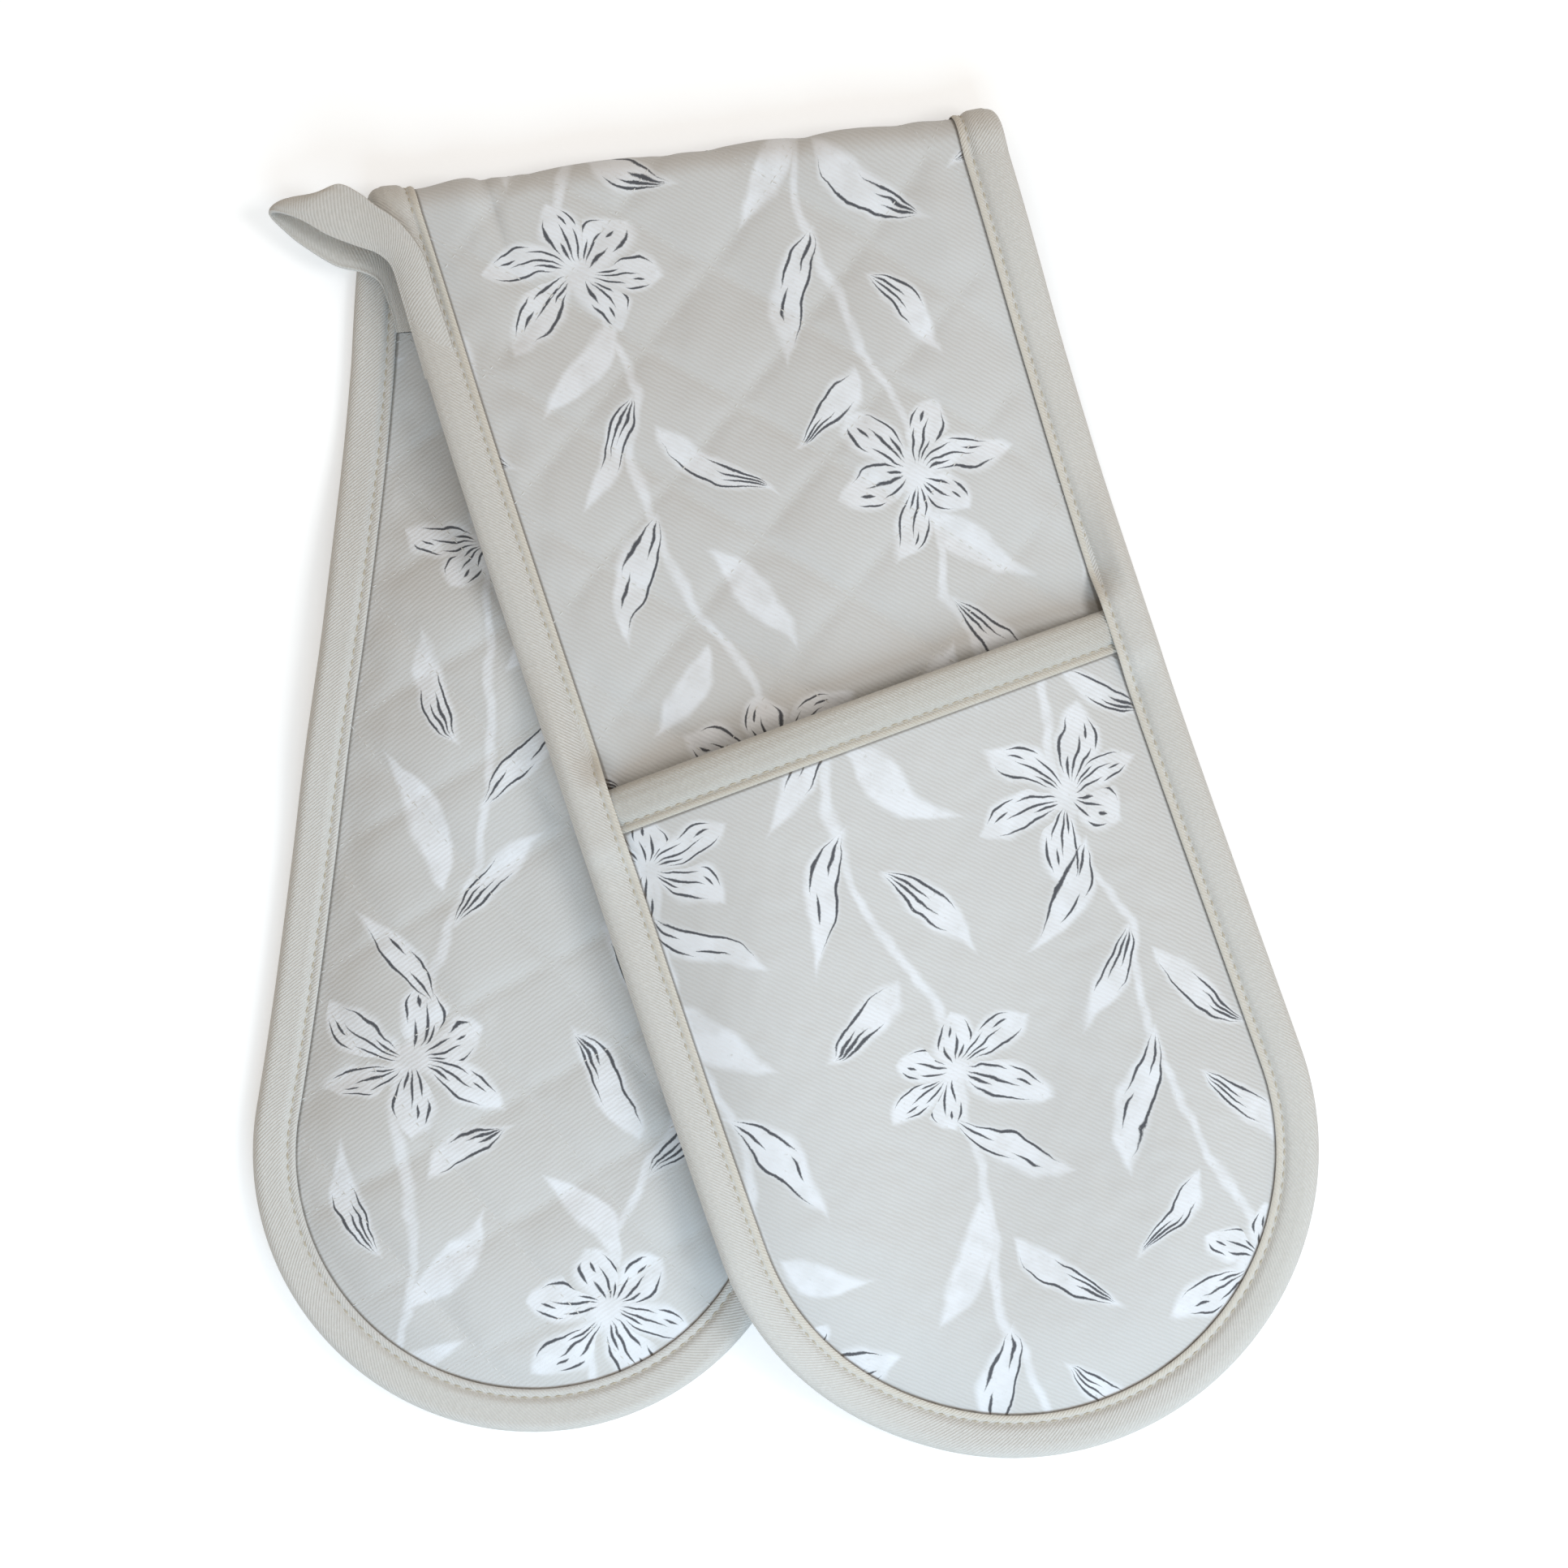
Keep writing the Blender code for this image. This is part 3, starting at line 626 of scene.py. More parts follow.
# Each stroke: place across from -1 to 1, middle along, half reach along. A leaf's run from -1 to 1 along it
VEINS = (
    ((-0.82, -0.36, 0.56), (-0.74, 0.30, 0.55), (-0.95, -0.05, 0.80)),
    ((-0.22, -0.55, 0.38), (-0.30, 0.47, 0.42), (-0.30, -0.62, 0.28)),
    ((0.24, -0.42, 0.44), (0.16, 0.55, 0.33), (0.30, 0.20, 0.24)),
    ((0.76, -0.30, 0.60), (0.80, 0.05, 0.80), (0.70, -0.46, 0.42)),
)
PETAL_STROKES = (
    ((-0.60, 8.2, 4.8), (0.06, 10.4, 6.6), (0.48, 7.4, 3.4)),
    ((-0.88, 17.0, 4.2), (-0.30, 17.6, 2.2), (0.92, 13.4, 7.4)),
)
STROKE_HALF = 0.46
# The blossom: its middle, how much it is pressed, and its petals' middle, half length, width and taper
BLOSSOM_X, BLOSSOM_Y, BLOSSOM_PRESS = 4.0, 37.0, 1.22
PETAL_MIDDLE, PETAL_HALF, PETAL_WIDTH, PETAL_TAPER = 12.5, 12.0, 5.6, 2.2
PETAL_ANGLE = math.pi / 3


def inked(g, ink, sets, wide, side, along, bare=None):
    """The distance to the nearest ink with these strokes added, three at a time."""
    for strokes in sets:
        place, middle, reach = np.array(strokes).T
        gap = g.vector("ABSOLUTE", g.vmad(wide, -place, side))
        if bare is not None:
            gap = g.vector("ADD", gap, bare)
        run = g.vmad(along, 1 / reach, -middle / reach)
        ends = g.vmul(run, run)
        stroke = g.vmad(ends, STROKE_HALF, g.vsub(gap, STROKE_HALF))
        ink = g.math("MINIMUM", ink, g.lowest(stroke))
    return ink


def cells(g, x, size):
    """(number of the cell, place in it from its middle) along one direction."""
    cell = g.math("FLOOR", g.div(x, size))
    return cell, g.sub(g.sub(x, g.mul(cell, size)), size / 2)


def print_pattern(g, place):
    """(how white, how inked) the print is at a place on the cloth in millimetres."""
    drawn = place
    for length, detail, reach in STRAY:
        stray = g.vsub(g.noise(place, 1 / length, detail)["Color"], 0.5)
        drawn = g.vmad(stray, (reach, reach, 0), drawn)
    u, v = g.parts(drawn)[:2]
    column, x = cells(g, u, COLUMN)
    period, y = cells(g, g.add(v, g.mul(g.math("FRACT", g.mul(column, COLUMN_SHIFT)), PERIOD)), PERIOD)
    dice = g.dice(g.join_parts(column, period, 0.0))
    x = g.mul(x, g.sub(g.mul(g.math("GREATER_THAN", dice["Value"], 0.5), 2.0), 1.0))

    stem = g.math("SINE", g.mul(y, 2 * math.pi / PERIOD))
    stem = g.math("ABSOLUTE", g.mad(stem, -STEM_SWAY, x))
    white = g.mul(g.ramp(stem, 2.3, 0.4), STEM_WHITE)
    ink = g.add(stem, 3.0)

    for number, group in enumerate(LEAVES):
        cx, cy, heading, half, width, bend = np.array(group).T
        cos, sin = np.cos(np.radians(heading)), np.sin(np.radians(heading))
        along = g.vmad(x, cos / half, g.vmad(y, sin / half, -(cos * cx + sin * cy) / half))
        side = g.vmad(x, -sin, g.vmad(y, cos, sin * cx - cos * cy))
        inside = g.vsub(1.0, g.vmul(along, along))
        side = g.vmad(inside, bend, side)
        wide = g.vmad(g.vector("MINIMUM", along, 2.0), -LEAF_TAPER * width, width)
        wide = g.vmul(wide, inside)
        body = g.lowest(g.vsub(g.vector("ABSOLUTE", side), wide))
        white = g.max(white, g.ramp(body, 1.5, -0.9))
        fate = g.parts(g.vector("FRACTION", g.vmad(dice["Color"], 3.0, 0.31 * number)))
        bare = g.join_parts(*[g.mul(g.math("GREATER_THAN", part, BARE_FROM), 6.0) for part in fate])
        ink = inked(g, ink, VEINS, wide, side, along, bare)

    px, py = g.add(x, -BLOSSOM_X), g.mul(g.add(y, -BLOSSOM_Y), BLOSSOM_PRESS)
    r = g.math("SQRT", g.add(g.mul(px, px), g.mul(py, py)))
    turned = g.mad(dice["Value"], 2.0, 0.3)
    angle = g.add(g.div(g.math("ARCTAN2", py, px), PETAL_ANGLE), turned)
    petal = g.math("FLOOR", angle)
    off = g.mul(g.sub(g.sub(angle, petal), 0.5), PETAL_ANGLE)
    own = g.dice(g.join_parts(g.math("MODULO", g.add(petal, 12.0), 6.0), dice["Value"], 0.0))["Value"]
    out = g.div(g.mul(r, g.math("COSINE", off)), g.mad(own, 0.55, 0.76))
    run = g.div(g.sub(out, PETAL_MIDDLE), PETAL_HALF)
    inside = g.sub(1.0, g.mul(run, run))
    wide = g.mul(g.mad(run, PETAL_TAPER, PETAL_WIDTH), inside)
    side = g.mad(inside, g.mad(own, 5.0, -2.5), g.mul(r, g.math("SINE", off)))
    body = g.sub(g.math("ABSOLUTE", side), wide)
    white = g.max(white, g.ramp(body, 2.4, -0.6))
    white = g.max(white, g.ramp(r, 8.5, 5.0))
    return white, inked(g, ink, PETAL_STROKES, wide, side, out)


GROUND = (screen(201, 202, 203), screen(208, 210, 211))
# The last colour is painted shadow: a dark brown line on the cover where the tape's turned edge would shade it
TWILL_SHADE, GRAIN_LIGHT, PAINTED_SEAM_SHADOW = screen(180, 178, 173), screen(228, 226, 221), screen(112, 100, 86)
PAINT, INK = screen(230, 234, 240), screen(58, 60, 67)
TWILL_PITCH = 1.2


def printed_cloth():
    g = Graph(bpy.data.materials.new("printed_cloth"))
    place = g.flat()
    white, ink = print_pattern(g, place)
    grain = g.noise(place, 2.2, 3.0, 0.65)["Fac"]
    dab = g.noise(place, 0.55, 3.0, 0.6)["Fac"]
    cloud = g.mad(g.ramp(g.noise(place, 1 / 8, 2.0)["Fac"], 0.30, 0.62), 0.34, 0.66)
    white = g.mul(g.mul(white, g.ramp(dab, 0.16, 0.42)), cloud)
    ink = g.ramp(g.add(ink, g.mad(grain, 0.5, -0.25)), 0.16, -0.22)
    ink = g.mul(ink, g.ramp(dab, 0.18, 0.34))

    u, v = g.parts(place)[:2]
    turns = g.mul(g.sub(u, v), 2 * math.pi / TWILL_PITCH / math.sqrt(2))
    twill = g.math("SINE", g.add(turns, g.mul(g.noise(place, 0.35, 2.0)["Fac"], 5.0)))
    colour = g.blend(g.noise(place, 1 / 45, 3.0)["Fac"], *GROUND)
    rim = g.parts(g.node("UVMap", uv_map="rim").outputs[0])[0]
    for share, paint in (
        (g.mad(twill, 0.13, 0.13), TWILL_SHADE),
        (g.mul(g.ramp(grain, 0.35, 0.8), 0.16), GRAIN_LIGHT),
        (g.mul(white, 0.92), PAINT),
        (g.mul(ink, 0.93), INK),
        # Painted shadow: the cover darkens within about a millimetre of the edge tape
        (g.mul(g.ramp(rim, 0.0009, 0.0002), 0.62), PAINTED_SEAM_SHADOW),
    ):
        colour = g.blend(share, colour, paint)
    weave = g.add(g.mul(twill, 0.35), grain)
    return g.cloth(colour, g.mad(grain, 0.12, 0.80), 0.12, 0.5, 0.25, weave, 0.00016, 0.55)


def woven(name, low, high, thread, bump, scale=0.8, lip=None):
    """A plain woven or felted finish: fine cross threads, soft patches and fibres, no print."""
    g = Graph(bpy.data.materials.new(name))
    flat = g.flat()
    fibre = g.noise(flat, scale, 4.0, 0.7)["Fac"]
    u, v = g.parts(flat)[:2]
    lines = g.math("SINE", g.mad(fibre, 3.0, g.mul(g.add(u, v), 2 * math.pi / thread)))
    colour = g.blend(g.noise(flat, 1 / 16, 3.0)["Fac"], screen(*low), screen(*high))
    light, dark = [min(part + 22, 250) for part in high], [part - 34 for part in low]
    colour = g.blend(g.mul(g.ramp(fibre, 0.35, 0.75), 0.30), colour, screen(*light))
    colour = g.blend(g.mad(lines, 0.10, 0.10), colour, screen(*dark))
    if lip:
        colour = g.blend(g.mul(g.ramp(u, 2.5, 1.5), 0.5), colour, screen(*lip))
    height = g.mad(lines, 0.25, fibre)
    return g.cloth(colour, g.mad(fibre, 0.1, 0.84), 0.2, 0.6, 0.2, height, 0.00025, bump)


PRINTED = printed_cloth()
LINING = woven("lining_cloth", (204, 202, 197), (210, 208, 203), 0.9, 0.4)
WADDING = woven("wadding_fill", (232, 230, 224), (240, 238, 233), 3.0, 0.8, 0.4)
BINDING = woven("binding_tape", (203, 202, 198), (210, 209, 206), 1.1, 0.9, lip=(214, 207, 192))
MOUTH_BINDING = woven("mouth_binding_tape", (192, 190, 184), (200, 199, 194), 1.1, 1.0, lip=(207, 200, 186))
THREAD = woven("sewing_thread", (186, 178, 162), (196, 189, 174), 0.5, 0.3)
QUILTING_THREAD = woven("quilting_thread", (212, 213, 212), (220, 221, 220), 0.5, 0.3)


# Width, length and area of the cut that each cloth piece is made of
CUT = {}


def new_piece(name, finish, points, normals, faces, flat=None, rim=None):
    """A mesh. Flat is each point's place on the cut cloth, and rim how far it is from a tape."""
    mesh = bpy.data.meshes.new(name)
    mesh.from_pydata((points + SHIFT).tolist(), [], faces)
    mesh.polygons.foreach_set("use_smooth", [True] * len(mesh.polygons))
    corners = np.empty(len(mesh.loops), dtype=np.int64)
    mesh.loops.foreach_get("vertex_index", corners)
    from_tape = None if rim is None else np.stack([rim, np.zeros_like(rim)], axis=1)
    for layer, values in (("flat", flat), ("rim", from_tape)):
        if values is not None:
            data = mesh.uv_layers.new(name=layer).data
            data.foreach_set("uv", values[corners].astype(np.float32).ravel())
    mesh.update()
    if normals is not None:
        mesh.normals_split_custom_set_from_vertices(normals.tolist())
    mesh.materials.append(finish)
    return shown(name, mesh)


def unit(v):
    return v / np.maximum(np.linalg.norm(v, axis=-1, keepdims=True), TINY)


def way_along(points):
    """Length from the first point to each point of a line."""
    return np.concatenate([[0], np.cumsum(np.linalg.norm(np.diff(points, axis=0), axis=1))])


def facing(place, a, b):
    """Points and unit normals of a surface place(a, b) over a grid. The normals point along da x db."""
    step = 2e-4
    da = place(a + step, b) - place(a - step, b)
    db = place(a, b + step) - place(a, b - step)
    return place(a, b), unit(np.cross(da, db))


def closed_sheet(name, finish, outer, inner, flat, rim):
    """A thin closed sheet between two faces, each (points, normals) over the same grid."""
    rows, across = outer[0].shape[:2]
    count = rows * across
    index = np.arange(count).reshape(rows, across)
    quads = grid_faces(index)
    border = np.concatenate([index[0, :-1], index[:-1, -1], index[-1, :0:-1], index[:0:-1, 0]])
    after = np.roll(border, -1)
    side = np.stack([border, after, after + count, border + count], axis=1)
    faces = np.concatenate([quads, quads[:, ::-1] + count, side]).tolist()
    points = np.concatenate([outer[0].reshape(-1, 3), inner[0].reshape(-1, 3)])
    normals = np.concatenate([outer[1].reshape(-1, 3), inner[1].reshape(-1, 3)])
    one, other = flat[1:, 1:] - flat[:-1, :-1], flat[1:, :-1] - flat[:-1, 1:]
    area = np.abs(one[..., 0] * other[..., 1] - one[..., 1] * other[..., 0]).sum() / 2
    CUT[name] = (*np.ptp(flat.reshape(-1, 2), axis=0), area)
    flat = np.concatenate([flat.reshape(-1, 2)] * 2)
    return new_piece(name, finish, points, normals, faces, flat, np.concatenate([rim.ravel()] * 2))


def ringed(index):
    """Rings of point numbers with each ring's first one again at its end."""
    return np.concatenate([index, index[..., :1]], axis=-1)


def tube(name, finish, sections, first_girth=0.0):
    """A closed body through rings of points, one ring per row, with smooth normals."""
    rows, count = sections.shape[:2]
    ahead = np.gradient(sections, axis=0)
    around = np.roll(sections, -1, axis=1) - np.roll(sections, 1, axis=1)
    normals = unit(np.cross(ahead, around))
    run, girth = way_along(sections[:, 0]), way_along(sections[0])
    CUT[name] = (girth[-1] / 2, run[-1], girth[-1] / 2 * run[-1])
    flat = np.stack(np.broadcast_arrays(girth[None, :] + first_girth, run[:, None]), axis=-1).reshape(-1, 2)
    index = np.arange(rows * count).reshape(rows, count)
    quads = grid_faces(ringed(index))
    turn = -1 if np.sum(normals * (sections - sections.mean(axis=1, keepdims=True))) < 0 else 1
    normals = normals * turn
    ends = [index[0][::-turn].tolist(), index[-1][::turn].tolist()]
    faces = quads[:, ::turn].tolist() + ends
    return new_piece(name, finish, sections.reshape(-1, 3), normals.reshape(-1, 3), faces, flat)


def disc_grid(arm, across, radius):
    """Rows of (s, t) that fill the arm's round end: a square grid pressed into a half disc."""
    half = across // 2
    u = np.linspace(-1, 1, across + 1)[None, :]
    v = np.linspace(0, 1, half + 1)[1:, None]
    t = radius * u * np.sqrt(1 - v * v / 2)
    s = arm.round_start + radius * v * np.sqrt(1 - u * u / 2)
    return s, t


def panel(arm, first, pitch):
    """(s, t) over a panel from a first station to the tip."""
    across = 2 * round(FOLD_WIDTH / pitch / 2)
    rows = max(round((arm.round_start - first) / pitch), 2)
    station = np.linspace(first, arm.round_start, rows + 1)[:, None]
    share = np.linspace(-1, 1, across + 1)[None, :]
    t = (arm.half_width(station) - INSET) * share
    s = arm.row(station, t)
    end_s, end_t = disc_grid(arm, across, arm.end_half - INSET)
    return np.concatenate([s, end_s]), np.concatenate([t, end_t])


# Gathers at the tape and unevenness all over: height, length and seed of each
GATHERS, UNEVEN = (0.00060, 0.016, 5), (0.00035, 0.034, 8)
GATHER_START, GATHER_REACH, GATHER_FOLD = 0.004, 0.009, 0.012


def pucker(arm, s, t):
    """Small gathers where the cloth leaves the edge tape, and soft unevenness all over."""
    d = arm.edge_distance(s, t) - FACE_INSET
    past = s * arm.cos - arm.side * t * arm.sin - BAND_END
    near = np.exp(-np.clip(d, 0, 1) / GATHER_REACH) * smooth(d / GATHER_START)
    total = 0
    for share, (height, length, seed) in ((near, GATHERS), (arm.freedom(s, t), UNEVEN)):
        total = total + height * share * ripple(t, arm.side * s, length, seed)
    return total * smooth(past / GATHER_FOLD)


def ply_faces(ply, half):
    """Offsets of a ply's outer and inner face from the middle of a panel that is this thick."""
    inside = half - CLOTH
    return {
        "outer_cover": (half, inside),
        "wadding": (inside - PLY_GAP / 2, PLY_GAP / 2 - inside),
        "inner_cover": (-inside, -half),
    }[ply]


def two_faces(surface, a, b, side):
    """Outer and inner face, each (points, normals), of a sheet whose faces are at surface(0 or 1, a, b)."""
    faces = []
    for which, up in ((0, side), (1, -side)):
        points, normals = facing(lambda x, y: surface(which, x, y), a, b)
        faces.append((points, normals * up))
    return faces


def arm_sheet(arm, name, finish, surface, s, t, rim, origin=(0, 0)):
    """A sheet on an arm. Rows run away from the fold, so the back arm's faces are turned over."""
    faces = two_faces(surface, s, t, arm.side)
    flat, turn = np.stack([t, arm.side * s], axis=-1) + np.array(origin), arm.side
    outer, inner = [tuple(x[::turn] for x in face) for face in faces]
    return closed_sheet(f"{arm.name}_{name}_cloth", finish, outer, inner, flat[::turn], rim[::turn])


def strip_sheet(arm, ply, finish, pitch):
    s, t = panel(arm, arm.start(0), pitch)

    def surface(which, s, t):
        half = cover_half(arm.freedom(s, t), t, arm.side * s) + pucker(arm, s, t)
        return arm.strip_point(s, t, ply_faces(ply, half)[which])

    return arm_sheet(arm, ply, finish, surface, s, t, arm.edge_distance(s, t) - TAPE_REACH)


# The pockets are cut from another part of the cloth, so print and puckers differ from the strip's there
POCKET_CUT = (0.31, 0.17)
POCKET_PUCKER, POCKET_PUCKER_RUN = 0.5, 0.03


def pocket_sheet(arm, ply, name, finish, pitch):
    s, t = panel(arm, arm.mouth + INSET, pitch)

    def surface(which, s, t):
        freedom = arm.freedom(s, t) * arm.past_tape(s, t, PUFF_RUN)
        open_share = smooth(arm.past_mouth(s, t) / POCKET_PUCKER_RUN)
        half = mix(POCKET_PRESSED, POCKET_PUFFED, freedom) / 2
        half = half + pucker(arm, s, t + POCKET_PUCKER) * open_share
        if POCKET_LIFT is not None:
            lift = np.tanh(sampled(POCKET_LIFT, t, arm.side * s) / POCKET_PUFF)
            half = half + freedom * POCKET_PUFF * (lift - 0.5)
        return arm.pocket_point(s, t, ply_faces(ply, half)[which])

    rim = np.minimum(arm.edge_distance(s, t), arm.past_mouth(s, t)) - TAPE_REACH
    return arm_sheet(arm, f"pocket_{name}", finish, surface, s, t, rim, POCKET_CUT)


def fold_free(t):
    return smooth((FOLD_WIDTH / 2 - np.abs(t) - FACE_INSET) / PUFF_RUN)


def fold_sheet(ply, finish, pitch):
    rows = 2 * round(FOLD_BAND / min(pitch, FOLD_PITCH) / 2)
    across = 2 * round(FOLD_WIDTH / pitch / 2)
    b = np.linspace(-BAND_END, BAND_END, rows + 1)[:, None]
    t = np.linspace(-1, 1, across + 1)[None, :] * (FOLD_WIDTH / 2 - INSET)
    b, t = np.broadcast_arrays(b, t)

    def surface(which, b, t):
        half = cover_half(fold_free(t), t, band_flat(b, t))
        return fold_point(b, t, ply_faces(ply, half)[which])

    flat = np.stack([t, band_flat(b, t)], axis=-1)
    rim = FOLD_WIDTH / 2 - np.abs(t) - TAPE_REACH
    return closed_sheet(f"fold_{ply}_cloth", finish, *two_faces(surface, b, t, 1), flat, rim)


# The folded tape's section: depth from the edge and offset from the strip's middle
SEAM_DEPTH = 0.0106
TOP_DEPTHS = [13.0, 12.8, 12.4, 11.9, 11.4, 11.0, 10.6, 10.2, 9.8, 9.2, 8.4, 7.4, 6.2, 5.0, 4.0]
TOP_DEPTHS = np.array(TOP_DEPTHS) / 1000
ROUND_DEPTH = 0.0032
ARC = np.linspace(math.pi / 2, -math.pi / 2, 13)
# The tape's relief: fullness, the stitched groove, the lip, the lip's turned edge, and how its lip settles
FULL_RISE, FULL_REACH = 0.00035, 0.0095
GROOVE, GROOVE_WIDTH = 0.00055, 0.00065
LIP_DROP, LIP_START, LIP_RUN = 0.00065, 0.0085, 0.0020
HEM_DROP, HEM_START, HEM_RUN = 0.00040, 0.0124, 0.0006
SETTLE_START, SETTLE_RUN = 0.0030, 0.0085
SLOT_DEPTHS = np.array([0.0130, 0.0080, TAPE_BEND_WALL, TAPE_BEND_WALL, 0.0080, 0.0130])
SLOT_SIDES = np.array([-1.0, -1.0, -1.0, 1.0, 1.0, 1.0])
SLOT_SETTLE = np.array([0.0, 0.0, 0.0, 0.0, 0.6, 1.0])
SLOT_PLAY = 0.00015


def tape_rise(depth):
    """How far the tape's outside stands off its plain level: full in the middle, low at the stitching."""
    full = FULL_RISE * np.sin(np.clip(depth / FULL_REACH, 0, 1) * math.pi)
    groove = GROOVE * bell(depth - SEAM_DEPTH, GROOVE_WIDTH)
    lip = LIP_DROP * smooth((depth - LIP_START) / LIP_RUN)
    hem = HEM_DROP * smooth((depth - HEM_START) / HEM_RUN) ** 2
    return full - groove - (lip + hem)


def tape_section(low, high, lip_high=None):
    """(depths, offsets) of the tape round a panel between two offsets. Its lip may lie lower."""
    drop = 0 if lip_high is None else high - lip_high
    middle, half = (low + high) / 2, (high - low) / 2 + SEAM_GAP + TAPE
    rise = tape_rise(TOP_DEPTHS)
    top = half + rise - drop * smooth((TOP_DEPTHS - SETTLE_START) / SETTLE_RUN)
    bottom = -(half + np.minimum(rise, 0)[::-1])
    slot = ((high - low) / 2 + SLOT_PLAY) * SLOT_SIDES - drop * SLOT_SETTLE
    depths = np.concatenate([TOP_DEPTHS, ROUND_DEPTH * (1 - np.cos(ARC)), TOP_DEPTHS[::-1], SLOT_DEPTHS])
    return depths, np.concatenate([top, half * np.sin(ARC), bottom, slot], axis=-1) + middle


def seam_top(*levels):
    """Offset of the tape's outside at its stitching."""
    offsets = tape_section(*levels)[1][..., : len(TOP_DEPTHS)][..., ::-1]
    return np.apply_along_axis(lambda row: np.interp(SEAM_DEPTH, TOP_DEPTHS[::-1], row), -1, offsets)


# Where the tape starts to rise before a pocket's mouth, how long it rises, and how long it settles after it
SOFT_START, SOFT_RISE, SOFT_SETTLE = 0.046, 0.044, 0.040


def soft_stack(arm, s, t):
    """The pocket's thickness under the tape, taken up over a longer run than the pocket itself."""
    e = arm.past_mouth(s, t)
    rise, past = smooth((e + SOFT_START) / SOFT_RISE), smooth(e / SOFT_SETTLE)
    return MOUTH_EDGE * rise * mix(1, POCKET_EDGE / MOUTH_EDGE, past)


def edge_line(arm, depth):
    """(s, t) of places along the arm's edge, this deep inside it, from its left start round its tip."""
    first = float(arm.start(0))
    station = np.linspace(first, arm.round_start, round((arm.round_start - first) / FINE) + 1)[:, None]
    turn = np.linspace(0, math.pi, round(math.pi * arm.end_half / FINE) + 1)[1:-1, None]
    half, reach = arm.half_width(station) - depth, arm.end_half - depth
    s = [arm.row(station, -half), arm.round_start + reach * np.sin(turn), arm.row(station, half)[::-1]]
    return np.concatenate(s), np.concatenate([-half, -reach * np.cos(turn), half[::-1]])


def tape_levels(arm):
    """(low, high, high at the lip) of what the edge tape wraps, at each place of the edge's line."""
    s, t = edge_line(arm, 0.0)
    low, true = -STRIP_PRESSED / 2, arm.stack(s, t)
    return low, np.maximum(true, soft_stack(arm, s, t)) - low, true - low


def edge_tape(arm):
    depth, n = tape_section(*tape_levels(arm))
    sections = arm.strip_point(*edge_line(arm, depth), n)
    return tube(f"{arm.name}_edge_binding_cloth", BINDING, sections)


def fold_tape(sign, name):
    b = np.linspace(-BAND_END, BAND_END, 25)[:, None]
    depth, n = tape_section(*STRIP_SIDES)
    return tube(name, BINDING, fold_point(b, sign * (FOLD_WIDTH / 2 - depth), n))


def mouth_tape(arm):
    half = float(arm.half_width(arm.mouth)) - INSET
    t = np.linspace(-half, half, round(2 * half / FINE) + 1)[:, None]
    depth, n = tape_section(*POCKET_SIDES)
    sections = arm.pocket_point(arm.row(arm.mouth + depth, t), t, n)
    return tube(f"{arm.name}_pocket_mouth_binding_cloth", MOUTH_BINDING, sections)


def curve_through(keys, steps):
    padded = np.array([keys[0], *keys, keys[-1]], dtype=float)
    found = []
    for i in range(len(keys) - 1):
        p, q, r, u = padded[i : i + 4]
        for step in range(steps):
            x = step / steps
            curved = (2 * p - 5 * q + 4 * r - u) + x * (3 * (q - r) + u - p)
            found.append(q + x * ((r - p) + x * curved) / 2)
    found.append(padded[-1])
    return np.array(found)


# The loop's run from where it leaves the edge tape, out, round and back under the edge: its left edge, its
# right edge, in millimetres, and how far its middle stands proud of them
LOOP_ROWS = (
    (-81.4, -47.5, 19.0, -70.6, -49.0, 21.6, 1.3),
    (-82.1, -42.3, 19.6, -71.3, -44.5, 23.0, 1.3),
    (-83.7, -32.4, 19.8, -73.0, -34.6, 23.4, 1.3),
    (-85.3, -22.1, 20.2, -75.0, -24.6, 23.9, 1.1),
    (-86.8, -14.3, 21.0, -77.1, -12.4, 24.6, 0.9),
    (-90.4, -10.0, 21.0, -82.4, -2.8, 24.6, 0.6),
    (-96.0, -7.1, 20.2, -88.5, 3.0, 23.6, 0.4),
    (-103.9, -2.7, 19.2, -93.9, 8.2, 22.4, 0.5),
    (-110.1, 2.1, 18.0, -98.9, 11.2, 21.0, 0.8),
    (-115.3, 5.2, 16.6, -105.8, 10.0, 18.2, 0.9),
    (-119.6, 6.9, 14.6, -114.2, 9.9, 14.6, 0.7),
    (-120.5, 6.0, 12.4, -118.3, 8.3, 10.8, 0.4),
    (-117.4, 1.8, 11.0, -112.0, 7.4, 7.8, -0.4),
    (-112.9, -3.0, 10.6, -105.3, 4.1, 7.0, -0.8),
    (-104.0, -10.2, 10.5, -97.3, -2.6, 7.0, -0.8),
    (-96.4, -13.2, 10.6, -90.0, -5.1, 7.4, -0.5),
    (-91.9, -16.6, 10.9, -85.7, -10.0, 8.6, 0.0),
    (-90.3, -21.9, 11.3, -83.2, -17.6, 9.8, 0.3),
    (-89.1, -27.6, 11.6, -82.3, -25.6, 10.8, 0.3),
    (-88.7, -32.2, 11.8, -82.3, -32.5, 11.4, 0.2),
)
# Its section: points round it, how square it is, and the groove beside its hems (depth, place, width)
LOOP_THICK, LOOP_STEPS, LOOP_AROUND = 0.0013, 8, 40
SQUARE_ACROSS, SQUARE_UP = 1.8, 0.45
HEM_GROOVE, HEM_PLACE, HEM_WIDTH = 0.45, 0.82, 0.07
# Its cut starts past the part of a tape that the finish colours as its lip
LOOP_CUT = 0.03


